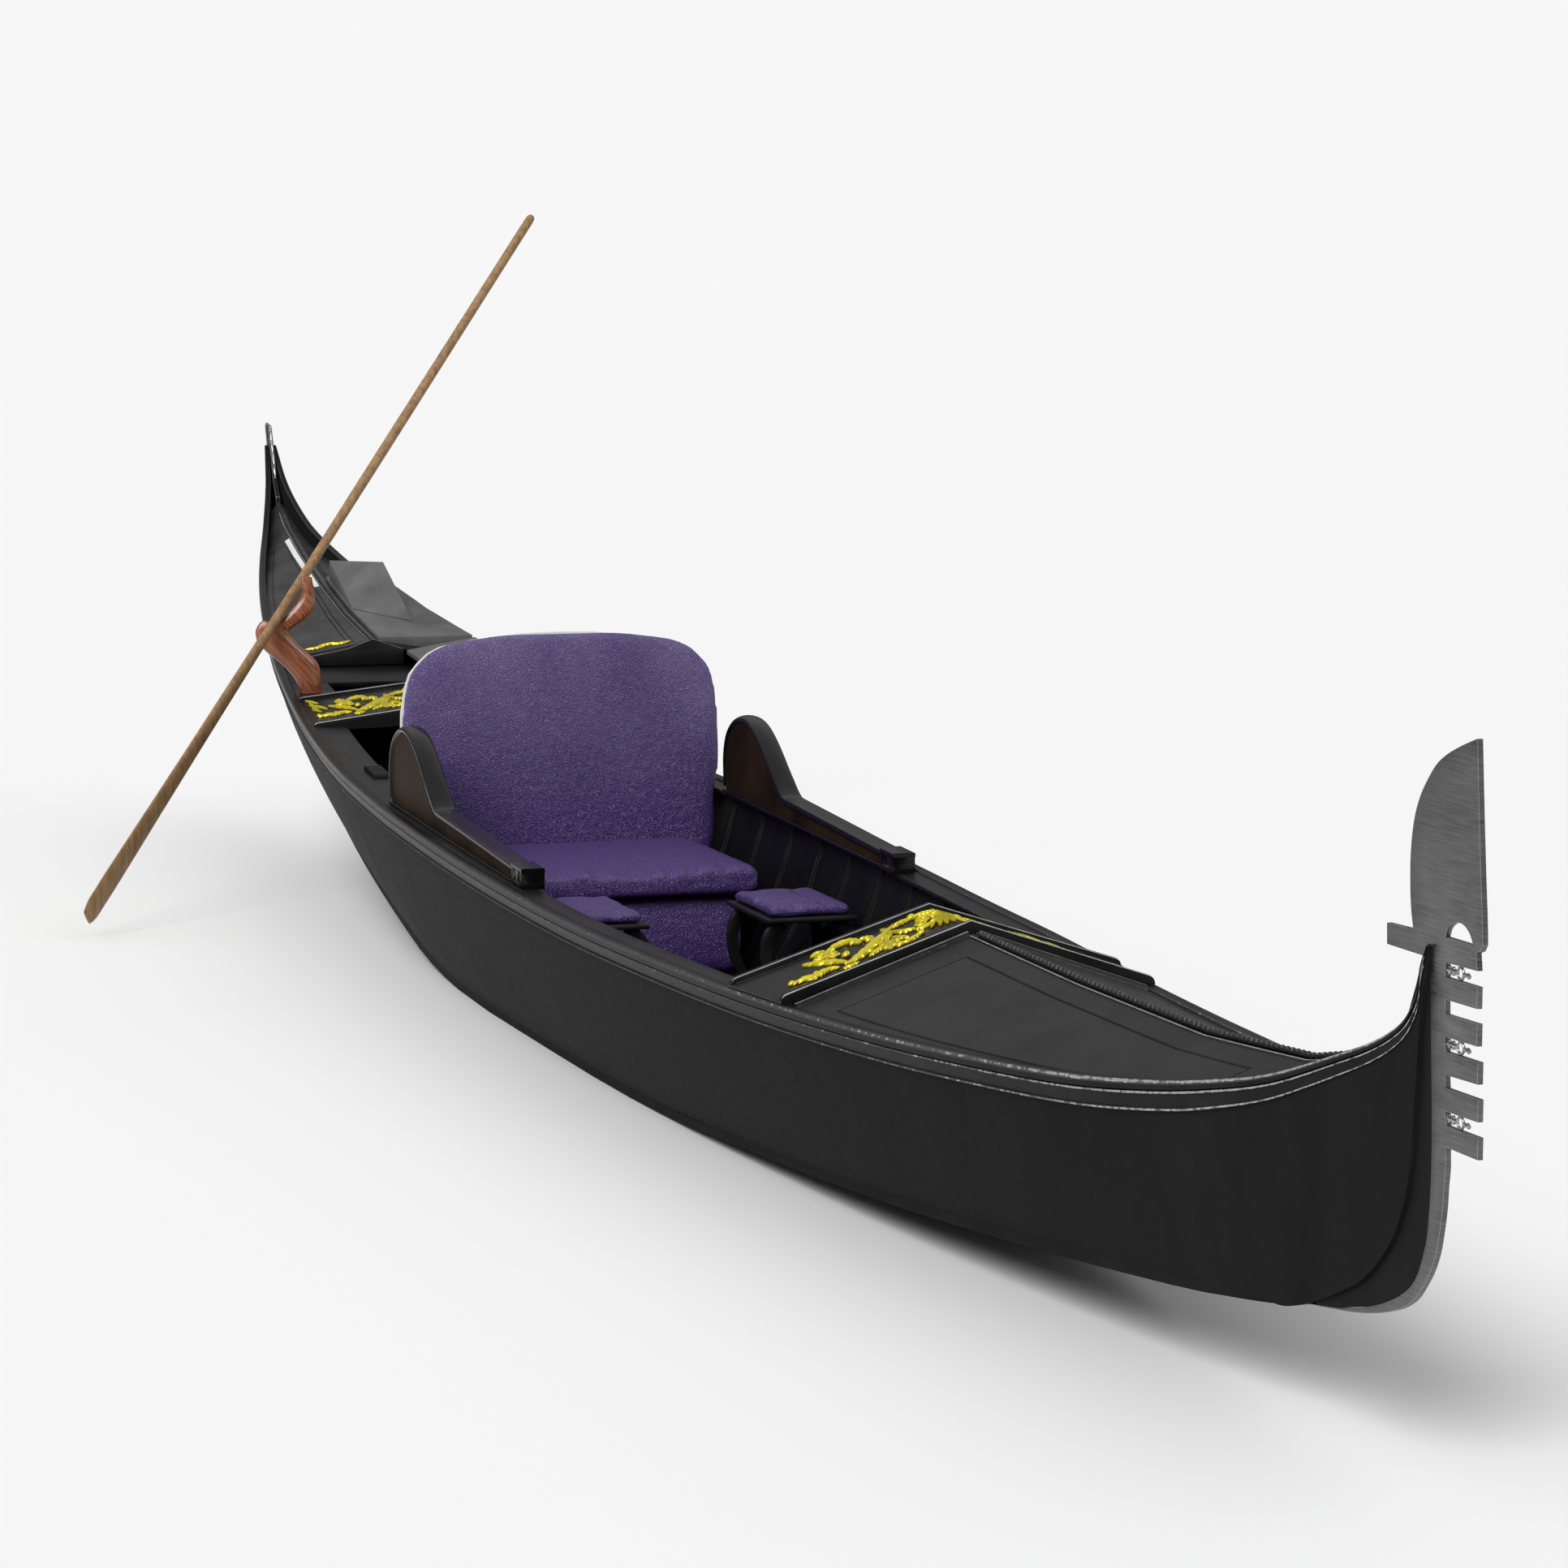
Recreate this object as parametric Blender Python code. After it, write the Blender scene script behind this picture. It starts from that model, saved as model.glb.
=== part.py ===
# A rowed Venetian gondola, in metres, +X to the bow, +Y to port, +Z up.
# The origin is on the flat of the bottom amidships, which is what the boat stands on.
import math

import bmesh
import bpy
import numpy as np
from mathutils import Matrix, Vector
from mathutils.bvhtree import BVHTree

# Driving sizes of the hull
PLANK = 0.024           # bottom planking
GAP = 0.0003            # between pieces that touch
FIT = 0.0004            # between a piece and the faceted wall that it fits into
POST_HALF = 0.009       # half the thickness of the stern post
STEM_HALF = 0.0058      # half the thickness of the stem
IRON_HALF = 0.0060      # half the thickness of the bow iron
BOTTOM_END = 4.800      # fore end of the bottom planks, where the sides run on to the stem
BOTTOM_BUTTS = (-1.0, 2.0)  # where the lengths of bottom planking meet
SEAT_IN = 0.008         # top of the side planking, from the sheer line inwards

# How the planking and the rail thin out towards both ends. Columns: x, wall thickness,
# rail height, rail from the sheer line inwards, rail from the sheer line outwards.
ENDS = [
    (-5.420, 0.0120, 0.0160, 0.0200, 0.0010),
    (-4.800, 0.0160, 0.0200, 0.0240, 0.0020),
    (-3.700, 0.0220, 0.0237, 0.0300, 0.0030),
    (4.300, 0.0220, 0.0237, 0.0300, 0.0030),
    (4.900, 0.0180, 0.0180, 0.0240, 0.0020),
    (5.310, 0.0100, 0.0090, 0.0120, 0.0005),
]

# Hull sections from stern to bow. Columns: sheer x, half beam, height, then the same
# three at the side's lower edge, then how far the side swells out of the straight chord in
# x, y, z, then the number of sections made from this row to the next.
SECTIONS = [
    (-5.410, 0.024, 1.530, -5.020, 0.0215, 0.640, -0.070, 0.000, -0.120, 3),
    (-5.290, 0.046, 1.380, -4.960, 0.030, 0.600, -0.040, 0.006, -0.060, 3),
    (-5.120, 0.090, 1.240, -4.900, 0.042, 0.575, -0.010, 0.010, -0.020, 3),
    (-4.800, 0.172, 1.100, -4.760, 0.064, 0.548, 0.000, 0.016, 0.000, 3),
    (-4.290, 0.276, 0.975, -4.290, 0.120, 0.482, 0.000, 0.022, 0.000, 3),
    (-3.680, 0.365, 0.838, -3.680, 0.202, 0.398, 0.000, 0.026, 0.000, 3),
    (-2.970, 0.447, 0.728, -2.970, 0.274, 0.297, 0.000, 0.028, 0.000, 3),
    (-2.170, 0.528, 0.656, -2.170, 0.334, 0.176, 0.000, 0.030, 0.000, 3),
    (-1.400, 0.595, 0.619, -1.400, 0.374, 0.072, 0.000, 0.030, 0.000, 2),
    (-1.000, 0.6175, 0.606, -1.000, 0.388, 0.026, 0.000, 0.030, 0.000, 2),
    (-0.600, 0.635, 0.594, -0.600, 0.397, 0.004, 0.000, 0.029, 0.000, 1),
    (-0.200, 0.643, 0.582, -0.200, 0.401, 0.000, 0.000, 0.028, 0.000, 3),
    (0.900, 0.634, 0.553, 0.900, 0.381, 0.000, 0.000, 0.028, 0.000, 2),
    (1.500, 0.609, 0.543, 1.500, 0.359, 0.008, 0.000, 0.027, 0.000, 2),
    (2.000, 0.578, 0.543, 2.000, 0.335, 0.028, 0.000, 0.026, 0.000, 3),
    (2.900, 0.488, 0.549, 2.900, 0.270, 0.072, 0.000, 0.022, 0.000, 3),
    (3.700, 0.376, 0.580, 3.700, 0.185, 0.125, 0.000, 0.018, 0.000, 3),
    (4.340, 0.254, 0.630, 4.340, 0.102, 0.178, 0.000, 0.014, 0.000, 2),
    (4.640, 0.178, 0.676, 4.540, 0.072, 0.200, 0.010, 0.012, -0.010, 2),
    (4.834, 0.122, 0.7205, 4.700, 0.046, 0.221, 0.020, 0.009, -0.018, 2),
    (4.949, 0.096, 0.7595, 4.795, 0.025, 0.237, 0.030, 0.006, -0.026, 1),
    (4.972, 0.091, 0.768, 4.831, 0.016, 0.250, 0.032, 0.006, -0.028, 1),
    (5.046, 0.074, 0.796, 4.960, 0.016, 0.302, 0.034, 0.006, -0.030, 2),
    (5.139, 0.053, 0.8325, 5.098, 0.016, 0.378, 0.030, 0.005, -0.026, 2),
    (5.188, 0.041, 0.858, 5.184, 0.016, 0.461, 0.022, 0.004, -0.016, 2),
    (5.240, 0.0305, 0.897, 5.240, 0.016, 0.580, 0.010, 0.003, -0.006, 2),
    (5.2735, 0.0228, 0.957, 5.262, 0.016, 0.740, 0.002, 0.001, 0.000, 2),
    (5.280, 0.0213, 1.003, 5.275, 0.016, 0.900, 0.000, 0.000, 0.000, 2),
    (5.297, 0.018, 1.0455, 5.297, 0.0155, 1.010, 0.000, 0.000, 0.000, 1),
]
ACROSS = (0.0, 0.22, 0.45, 0.68, 0.86, 1.0)   # places up the side where the section has a point

# Ridges of the two decks. Columns: x, height.
FORE_RIDGE = [(2.90, 0.700), (3.60, 0.692), (4.30, 0.698), (4.80, 0.735), (5.06, 0.790)]
AFT_RIDGE = [(-5.26, 1.310), (-5.10, 1.215), (-4.80, 1.115), (-4.40, 1.010), (-4.00, 0.925),
             (-3.51, 0.858)]
DECK = 0.014            # deck planking
DECK_DROP = 0.010       # deck edge below the sheer line

# Crossbeams, seat and floor
FORE_BEAM_X = (2.598, 2.902)
AFT_BEAM_X = (-2.850, -2.350)
LIP = 0.015             # width and height of a beam's edge rails
BEAM_DEPTH = 0.060      # depth of a crossbeam in the middle
FLOOR_TOP = 0.105
FLOOR_T = 0.018
COCKPIT_X = (-0.95, 2.59)
CAPPING_IN = 0.095      # inner edge of the side capping, in from the sheer line
BATTEN_PITCH = 0.28
BATTEN_HALF = 0.055
SEAT_TOP = 0.455
SEAT_BASE_TOP = 0.360
SEAT_HALF = 0.415
BACK_FRONT = -0.750     # front face of the backrest at the cushion
BACK_T = 0.040          # padding of the backrest
SHELL_T = 0.012         # outer shell of the backrest
BACK_LEAN = 0.04        # how far the backrest leans aft for each metre of height
STOOL_TOP = 0.397

# Upper half of the backrest's outline. Columns: half width, height.
BACK_EDGE = [(0.500, 0.3603), (0.518, 0.430), (0.524, 0.600), (0.535, 0.660), (0.535, 0.800),
             (0.533, 0.870), (0.520, 0.950), (0.504, 0.995), (0.475, 1.030), (0.442, 1.060),
             (0.400, 1.080), (0.295, 1.100), (0.120, 1.118)]
BACK_TOP = 1.121

# Top of the standing platform. Columns: x, height.
PLATFORM = [(-4.470, 1.036), (-4.290, 0.999), (-4.000, 0.940), (-3.680, 0.893), (-3.520, 0.872)]

# Rowlock and oar
NOTCH = Vector((-2.970, -0.4518, 1.0441))
OAR_GRIP = Vector((-4.485, 0.900, 2.490))
OAR_TIP = Vector((-1.954, -1.359, 0.074))

# The oar from grip to tip. Columns: distance from the grip, half width, half thickness.
OAR_SHAPE = [
    (0.000, 0.0150, 0.0150),
    (0.020, 0.0175, 0.0175),
    (0.700, 0.0180, 0.0180),
    (1.600, 0.0190, 0.0185),
    (2.400, 0.0190, 0.0170),
    (2.700, 0.0210, 0.0155),
    (3.000, 0.0265, 0.0130),
    (3.300, 0.0310, 0.0110),
    (3.600, 0.0365, 0.0095),
    (3.850, 0.0410, 0.0080),
    (4.060, 0.0425, 0.0070),
    (4.135, 0.0395, 0.0060),
    (4.165, 0.0290, 0.0045),
]


def clear_scene():
    for item in list(bpy.data.objects):
        bpy.data.objects.remove(item, do_unlink=True)


def finish(name, colour, roughness, metallic=0.0):
    material = bpy.data.materials.new(name)
    material.use_nodes = True
    shader = material.node_tree.nodes["Principled BSDF"]
    shader.inputs["Base Color"].default_value = (*colour, 1.0)
    shader.inputs["Roughness"].default_value = roughness
    shader.inputs["Metallic"].default_value = metallic
    return material


def is_flat(face):
    """True where a four-sided face lies in one plane."""
    corners = [vert.co for vert in face.verts]
    normal = (corners[1] - corners[0]).cross(corners[2] - corners[0])
    if normal.length < 1e-12:
        return False
    return abs(normal.normalized().dot(corners[3] - corners[0])) < 1e-6


def solid(name, points, faces, look, smooth=False):
    """One object from points and faces, its faces turned to point outwards."""
    mesh = bpy.data.meshes.new(name)
    work = bmesh.new()
    corners = [work.verts.new(Vector(p)) for p in points]
    for face in faces:
        work.faces.new([corners[i] for i in face])
    bmesh.ops.recalc_face_normals(work, faces=work.faces)
    warped = [face for face in work.faces if len(face.verts) == 4 and not is_flat(face)]
    bmesh.ops.triangulate(work, faces=warped, quad_method="SHORT_EDGE")
    work.to_mesh(mesh)
    work.free()
    if smooth:
        mesh.shade_smooth()
        mesh.set_sharp_from_angle(angle=math.radians(35))
    item = bpy.data.objects.new(name, mesh)
    mesh.materials.append(look)
    bpy.context.scene.collection.objects.link(item)
    return item


def slab(name, upper, lower, look, smooth=False):
    """A plate between two grids of points that have the same rows and columns."""
    upper = np.asarray(upper, float)
    lower = np.asarray(lower, float)
    rows, cols = upper.shape[:2]
    points = np.concatenate([upper.reshape(-1, 3), lower.reshape(-1, 3)])
    base = rows * cols
    faces = []
    for i in range(rows - 1):
        for j in range(cols - 1):
            a = i * cols + j
            faces.append((a, a + 1, a + cols + 1, a + cols))
            faces.append((base + a, base + a + cols, base + a + cols + 1, base + a + 1))
    rim = [j for j in range(cols)]
    rim += [i * cols + cols - 1 for i in range(1, rows)]
    rim += [(rows - 1) * cols + j for j in range(cols - 2, -1, -1)]
    rim += [i * cols for i in range(rows - 2, 0, -1)]
    for k, a in enumerate(rim):
        b = rim[(k + 1) % len(rim)]
        faces.append((a, base + a, base + b, b))
    return solid(name, points, faces, look, smooth)


def swept(name, rings, look, smooth=True):
    """A bar through rings of points, closed at both ends."""
    rings = np.asarray(rings, float)
    count, m = rings.shape[:2]
    faces = []
    for i in range(count - 1):
        for j in range(m):
            k = (j + 1) % m
            faces.append((i * m + j, i * m + k, (i + 1) * m + k, (i + 1) * m + j))
    faces.append(tuple(range(m)))
    faces.append(tuple((count - 1) * m + j for j in range(m)))
    return solid(name, rings.reshape(-1, 3), faces, look, smooth)


def prism(name, outline, place, low, high, look, smooth=False):
    """A flat outline given a thickness; place(u, v, w) sets a point of it in space."""
    m = len(outline)
    points = [place(u, v, low) for u, v in outline] + [place(u, v, high) for u, v in outline]
    faces = [tuple(range(m)), tuple(range(m, 2 * m))]
    faces += [(j, (j + 1) % m, m + (j + 1) % m, m + j) for j in range(m)]
    return solid(name, points, faces, look, smooth)


def box(name, low, high, look):
    outline = [(low[0], low[1]), (high[0], low[1]), (high[0], high[1]), (low[0], high[1])]
    return prism(name, outline, lambda u, v, w: (u, v, w), low[2], high[2], look)


def round_edges(item, width, segments=2):
    bevel = item.modifiers.new("rounded", "BEVEL")
    bevel.width = width
    bevel.segments = segments
    bevel.limit_method = "ANGLE"
    bevel.angle_limit = math.radians(35)
    return item


def join_with(item, others):
    """Boolean union of other objects into one, which leaves a single closed body."""
    for other in others:
        union = item.modifiers.new("union", "BOOLEAN")
        union.operation = "UNION"
        union.object = other
        hide_cutter(other)
    return item


def hide_cutter(other):
    other.hide_render = True
    other.display_type = "WIRE"


def column(table, x, which=1):
    xs = [row[0] for row in table]
    return float(np.interp(x, xs, [row[which] for row in table]))


def smooth_rows(table):
    """A smooth curve through the rows of a table, whose last column says how many rows to make."""
    rows = np.asarray(table, float)[:, :-1]
    ends = np.concatenate([[2 * rows[0] - rows[1]], rows, [2 * rows[-1] - rows[-2]]])
    made = []
    for i in range(1, len(ends) - 2):
        before, here, there, after = ends[i - 1:i + 3]
        steps = table[i - 1][-1]
        for k in range(steps):
            t = k / steps
            made.append(0.5 * (2 * here + (there - before) * t
                               + (2 * before - 5 * here + 4 * there - after) * t ** 2
                               + (3 * here - before - 3 * there + after) * t ** 3))
    made.append(rows[-1])
    return np.array(made)


def mirror_y(points):
    flipped = np.array(points, float)
    flipped[..., 1] *= -1
    return flipped


def on_side(points, side):
    return points if side == "port" else mirror_y(points)


LOOKS = {
    "black": finish("black_paint", (0.022, 0.022, 0.023), 0.42),
    "deck": finish("deck_paint", (0.042, 0.042, 0.044), 0.48),
    "rail": finish("worn_rail", (0.30, 0.30, 0.30), 0.38, 0.6),
    "iron": finish("bow_steel", (0.12, 0.12, 0.12), 0.42, 0.85),
    "chrome": finish("bright_metal", (0.75, 0.75, 0.75), 0.15, 1.0),
    "gold": finish("gilding", (0.90, 0.70, 0.04), 0.28, 0.7),
    "leather": finish("purple_leather", (0.085, 0.045, 0.20), 0.50),
    "shell": finish("pale_edge", (0.80, 0.80, 0.78), 0.45),
    "walnut": finish("rowlock_wood", (0.24, 0.075, 0.03), 0.35),
    "ash": finish("oar_wood", (0.26, 0.155, 0.085), 0.50),
    "carpet": finish("grey_covering", (0.10, 0.10, 0.10), 0.85),
    "panel": finish("brown_panel", (0.06, 0.030, 0.014), 0.40),
}


END_COLUMNS = ("x", "wall", "rail_height", "rail_in", "rail_out")


def end_size(x, what):
    """A thickness of the planking or rail at x, from the table of how they thin out."""
    table = np.array(ENDS)
    return np.interp(x, table[:, 0], table[:, END_COLUMNS.index(what)])


def hull_rows():
    """Points of the side's outer face, row by row, from the bottom's edge to the rail's seat."""
    rows = smooth_rows(SECTIONS)
    sheer, keel_line, swell = rows[:, 0:3], rows[:, 3:6], rows[:, 6:9]
    keel_line[:, 2] = np.maximum(keel_line[:, 2], 0.0)
    keel = keel_line.copy()
    keel[:, 2] += np.where(keel_line[:, 0] < BOTTOM_END, PLANK + GAP, 0.0)
    seat = sheer.copy()
    seat[:, 2] -= end_size(sheer[:, 0], "rail_height") + GAP
    seat[:, 1] = np.maximum(sheer[:, 1] - SEAT_IN, np.where(sheer[:, 0] > 0, 0.0155, 0.0205))
    middle = (seat + keel) / 2 + swell * 2
    t = np.array(ACROSS)[None, :, None]
    side = (1 - t) ** 2 * keel[:, None] + 2 * t * (1 - t) * middle[:, None] + t ** 2 * seat[:, None]
    return sheer, keel_line, side


SHEER, KEEL, SIDE = hull_rows()


def post_face(x):
    """How near to the centreline a piece of one side may come: up to the stem, iron or post."""
    return np.where(np.asarray(x) > 0, IRON_HALF + GAP, POST_HALF + GAP)


def inner_face(side):
    inner = side.copy()
    inner[..., 1] = np.maximum(side[..., 1] - end_size(side[..., 0], "wall"), post_face(side[..., 0]))
    return inner


def hull_sides():
    for name in ("starboard", "port"):
        slab(f"hull_side_{name}", on_side(SIDE, name), on_side(inner_face(SIDE), name),
             LOOKS["black"], True)


def hull_bottom():
    """Bottom planks in three lengths, butted where the bottom starts to rise to bow and stern."""
    whole = np.array([KEEL[1], *KEEL[2:][KEEL[2:, 0] < BOTTOM_END]])
    across = np.array([-1.0, 0.0, 1.0])
    ends = [whole[0, 0], *BOTTOM_BUTTS, whole[-1, 0]]
    for part, (start, end) in zip(("aft", "middle", "fore"), zip(ends[:-1], ends[1:])):
        low_x = start + GAP / 2 if part != "aft" else start
        high_x = end - GAP / 2 if part != "fore" else end
        xs = np.concatenate([[low_x], whole[(whole[:, 0] > low_x) & (whole[:, 0] < high_x), 0], [high_x]])
        ys = np.interp(xs, whole[:, 0], whole[:, 1])
        zs = np.interp(xs, whole[:, 0], whole[:, 2])
        low = np.stack([np.repeat(xs[:, None], 3, 1), ys[:, None] * across, np.repeat(zs[:, None], 3, 1)], 2)
        high = low + np.array([0.0, 0.0, PLANK])
        slab(f"hull_bottom_{part}", high, low, LOOKS["black"])


def rail_rings():
    x, y, z = SHEER.T
    inner = np.maximum(y - end_size(x, "rail_in"), post_face(x) + FIT - GAP)
    outer = y + end_size(x, "rail_out")
    middle = (inner + outer) / 2
    half = (outer - inner) / 2
    height = end_size(x, "rail_height")
    profile = [(-1.0, 0.0), (1.0, 0.0), (1.0, 0.55), (0.80, 0.85), (0.35, 1.0), (-0.35, 1.0),
               (-0.80, 0.85), (-1.0, 0.55)]
    rings = [np.stack([x, middle + half * u, z - height * (1 - v)], 1) for u, v in profile]
    return np.stack(rings, 1)


def gunwale_rails():
    for name in ("starboard", "port"):
        swept(f"gunwale_rail_{name}", on_side(rail_rings(), name), LOOKS["rail"])


def rub_bands():
    """The band under the rail with a bead along each edge. Columns: distance down, stand-off."""
    profile = [(0.003, 0.0012), (0.003, 0.008), (0.006, 0.0105), (0.010, 0.008), (0.012, 0.004),
               (0.038, 0.004), (0.040, 0.008), (0.044, 0.0105), (0.047, 0.008), (0.047, 0.0012)]
    top, below = SIDE[1:-2, -1], SIDE[1:-2, -2]
    down = (below - top) / np.linalg.norm(below - top, axis=1)[:, None]
    slim = np.interp(top[:, 0], [4.60, 5.26], [1.0, 0.42])[:, None]
    stand_off = np.array([0.0, 1.0, 0.0])
    rings = np.stack([top + down * s * slim + stand_off * np.maximum(h * slim, profile[0][1])
                      for s, h in profile], 1)
    for name in ("starboard", "port"):
        swept(f"rub_band_{name}", on_side(rings, name), LOOKS["black"])


# Bow iron, seen from the side. Columns: x, height. The strip runs up the stem from the bottom.
STRIP_BACK = [(4.807, 0.2419), (4.851, 0.249), (4.942, 0.265), (5.048, 0.292), (5.116, 0.314),
              (5.177, 0.340), (5.220, 0.363), (5.253, 0.389), (5.275, 0.418), (5.287, 0.444),
              (5.301, 0.479), (5.309, 0.527), (5.313, 0.575), (5.314, 0.621), (5.312, 0.714),
              (5.303, 0.835), (5.297, 0.927), (5.289, 1.017)]
STRIP_FRONT = [(5.3705, 0.668), (5.372, 0.632), (5.368, 0.601), (5.364, 0.554), (5.354, 0.506),
               (5.342, 0.4645), (5.321, 0.4255), (5.2895, 0.387), (5.261, 0.359), (5.222, 0.335),
               (5.162, 0.311), (5.117, 0.297), (5.048, 0.280), (4.978, 0.2665), (4.906, 0.255),
               (4.8515, 0.2467), (4.8035, 0.2405)]
HEAD_BACK = [(5.229, 1.017), (5.112, 1.016), (5.110, 1.057), (5.2187, 1.061), (5.208, 1.099),
             (5.2036, 1.128), (5.2014, 1.1585), (5.2014, 1.205), (5.205, 1.236), (5.210, 1.260),
             (5.218, 1.284), (5.2355, 1.3165), (5.2495, 1.3335), (5.2635, 1.3505), (5.279, 1.3675),
             (5.301, 1.385), (5.335, 1.404), (5.359, 1.414), (5.387, 1.425), (5.4165, 1.4355),
             (5.4505, 1.446)]
HEAD_FRONT = [(5.455, 1.446), (5.462, 1.374), (5.468, 1.315), (5.4745, 1.256), (5.481, 1.197),
              (5.488, 1.154), (5.493, 1.094), (5.4945, 1.0725), (5.486, 1.060), (5.4705, 1.054)]
HEAD_HOLE = [(5.348, 1.066), (5.3555, 1.0815), (5.377, 1.095), (5.399, 1.100), (5.425, 1.0965),
             (5.4445, 1.0845), (5.458, 1.067)]

# The six teeth from the top down. Columns: front x, front top and bottom, root x, root top and
# bottom. The first one hangs from the head, so it has no root of its own at the top.
TEETH = [
    (5.476, 1.054, 1.022, 5.3505, 1.054, 1.018),
    (5.478, 0.993, 0.952, 5.3535, 0.991, 0.949),
    (5.481, 0.925, 0.883, 5.3555, 0.922, 0.879),
    (5.488, 0.855, 0.8135, 5.3605, 0.852, 0.808),
    (5.492, 0.7865, 0.744, 5.3640, 0.784, 0.740),
    (5.495, 0.716, 0.674, 5.3700, 0.714, 0.673),
]
STEM_BACK = [(4.850, 0.268), (4.942, 0.310), (5.030, 0.370), (5.090, 0.450), (5.120, 0.560),
             (5.140, 0.700), (5.160, 0.800), (5.200, 0.885), (5.235, 0.955), (5.258, 1.010)]


def in_plane(u, v, w):
    return (u, w, v)


def bow_stem():
    """The stem shows as a dark blade between the planking and the iron's strip."""
    fore = [(x - GAP, z + GAP) for x, z in STRIP_BACK[1:-1]]
    fore.append((STRIP_BACK[-1][0] - GAP, STEM_BACK[-1][1]))
    prism("bow_stem", STEM_BACK + fore[::-1], in_plane, -STEM_HALF, STEM_HALF, LOOKS["black"])


def bow_iron():
    teeth = []
    for number, (front, top, bottom, root, root_top, root_bottom) in enumerate(TEETH):
        if number > 0:
            teeth += [(root, root_top), (front, top)]
        teeth += [(front, bottom), (root, root_bottom)]
    outline = HEAD_BACK + HEAD_FRONT + teeth + STRIP_FRONT + STRIP_BACK
    plate = prism("bow_iron", outline, in_plane, -IRON_HALF, IRON_HALF, LOOKS["iron"])
    cutter = prism("bow_iron_hole", HEAD_HOLE, in_plane, -0.03, 0.03, LOOKS["iron"])
    hide_cutter(cutter)
    cut = plate.modifiers.new("hole", "BOOLEAN")
    cut.operation = "DIFFERENCE"
    cut.object = cutter


def bow_iron_ornaments():
    """Three bright leaves in the first, third and fifth gaps between the teeth."""
    shape = [(0.000, 0.009), (0.016, 0.006), (0.026, 0.003), (0.036, 0.007), (0.052, 0.010),
             (0.066, 0.006), (0.076, 0.003), (0.090, 0.004)]
    for number, k in enumerate((0, 2, 4), 1):
        ends = [TEETH[k + 1][4], TEETH[k][5]]
        z = sum(ends) / 2
        outline = [(u, z + v) for u, v in shape] + [(u, z - v) for u, v in shape[::-1]]
        outline = [(np.interp(v, ends, [TEETH[k + 1][3], TEETH[k][3]]) + GAP + u, v) for u, v in outline]
        prism(f"bow_iron_ornament_{number}", outline, in_plane, -0.004, 0.004, LOOKS["chrome"])


# Top of the stern post, from the deck's ridge up to the tip and over it. Columns: x, height.
STERN_LINE = [(-5.322, 1.388), (-5.345, 1.450), (-5.378, 1.520), (-5.421, 1.602), (-5.478, 1.611)]


def stern_post():
    edge = SIDE[0]
    outer = [(x - 0.030, z) for x, y, z in edge[1:]]
    inner = [(x + 0.070, z + 0.020) for x, y, z in edge[1:] if z < 1.20]
    outline = outer + STERN_LINE[::-1] + [(-5.262, 1.318), (-5.252, 1.270)] + inner[::-1]
    prism("stern_post", outline, in_plane, -POST_HALF, POST_HALF, LOOKS["black"])


LINK = 0.055            # pitch of the links


def stern_iron():
    """A worn steel strap of short links over the tip of the stern."""
    corners = np.array(STERN_LINE)
    steps = np.concatenate([[0.0], np.cumsum(np.linalg.norm(np.diff(corners, axis=0), axis=1))])
    length = np.unique(np.round(np.concatenate([np.arange(0.0, steps[-1], LINK / 4), steps]), 5))
    xs = np.interp(length, steps, corners[:, 0])
    zs = np.interp(length, steps, corners[:, 1])
    rings = []
    for i, (s, x, z) in enumerate(zip(length, xs, zs)):
        at_joint = (s / LINK) % 1.0 < 0.5
        half = 0.0085 if at_joint else 0.0070
        high = 0.013 if at_joint else 0.010
        j = min(max(i, 1), len(xs) - 2)
        along = Vector((xs[j + 1] - xs[j - 1], 0, zs[j + 1] - zs[j - 1])).normalized()
        up = Vector((abs(along.z), 0, abs(along.x)))
        base = Vector((x, 0, z)) + up * 0.0012
        rings.append([base + Vector((0, -half, 0)), base + Vector((0, half, 0)),
                      base + up * high + Vector((0, half * 0.6, 0)),
                      base + up * high + Vector((0, -half * 0.6, 0))])
    swept("stern_iron", rings, LOOKS["chrome"], False)


def wall_tree():
    """A search tree of the port wall and rail, to fit the inner pieces against."""
    points, faces = [], []
    for grid in (inner_face(SIDE), SIDE):
        base = len(points)
        rows, cols = grid.shape[:2]
        points += [Vector(p) for p in grid.reshape(-1, 3)]
        for i in range(rows - 1):
            for j in range(cols - 1):
                a = base + i * cols + j
                faces.append((a, a + 1, a + cols + 1, a + cols))
    rings = rail_rings()
    count, m = rings.shape[:2]
    base = len(points)
    points += [Vector(p) for p in rings.reshape(-1, 3)]
    for i in range(count - 1):
        for j in range(m):
            k = (j + 1) % m
            faces.append((base + i * m + j, base + i * m + k, base + (i + 1) * m + k,
                          base + (i + 1) * m + j))
    return BVHTree.FromPolygons(points, faces)


WALLS = wall_tree()


def reach(x, low, high):
    """How far a piece between two heights may go out to the wall and rail at x."""
    best = 2.0
    for z in np.linspace(low - 0.0015, high + 0.0015, 5):
        hit = WALLS.ray_cast(Vector((x, 0.0, z)), Vector((0.0, 1.0, 0.0)))
        if hit[0] is not None:
            best = min(best, hit[0].y)
    return best - FIT


def sheer_z(x):
    return float(np.interp(x, SHEER[:, 0], SHEER[:, 2]))


def sheer_y(x):
    return float(np.interp(x, SHEER[:, 0], SHEER[:, 1]))


def keel_z(x):
    return float(np.interp(x, KEEL[:, 0], KEEL[:, 2]))


def stations(low, high, extra=()):
    xs = {round(low, 4), round(high, 4)}
    xs |= {round(float(x), 4) for x in SHEER[:, 0] if low < x < high}
    xs |= {round(x, 4) for x in extra if low <= x <= high}
    return sorted(xs)


def deck_marks(ridge):
    """Places where a deck or the platform on it changes its slope."""
    return [place for place, height in ridge + PLATFORM]


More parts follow.
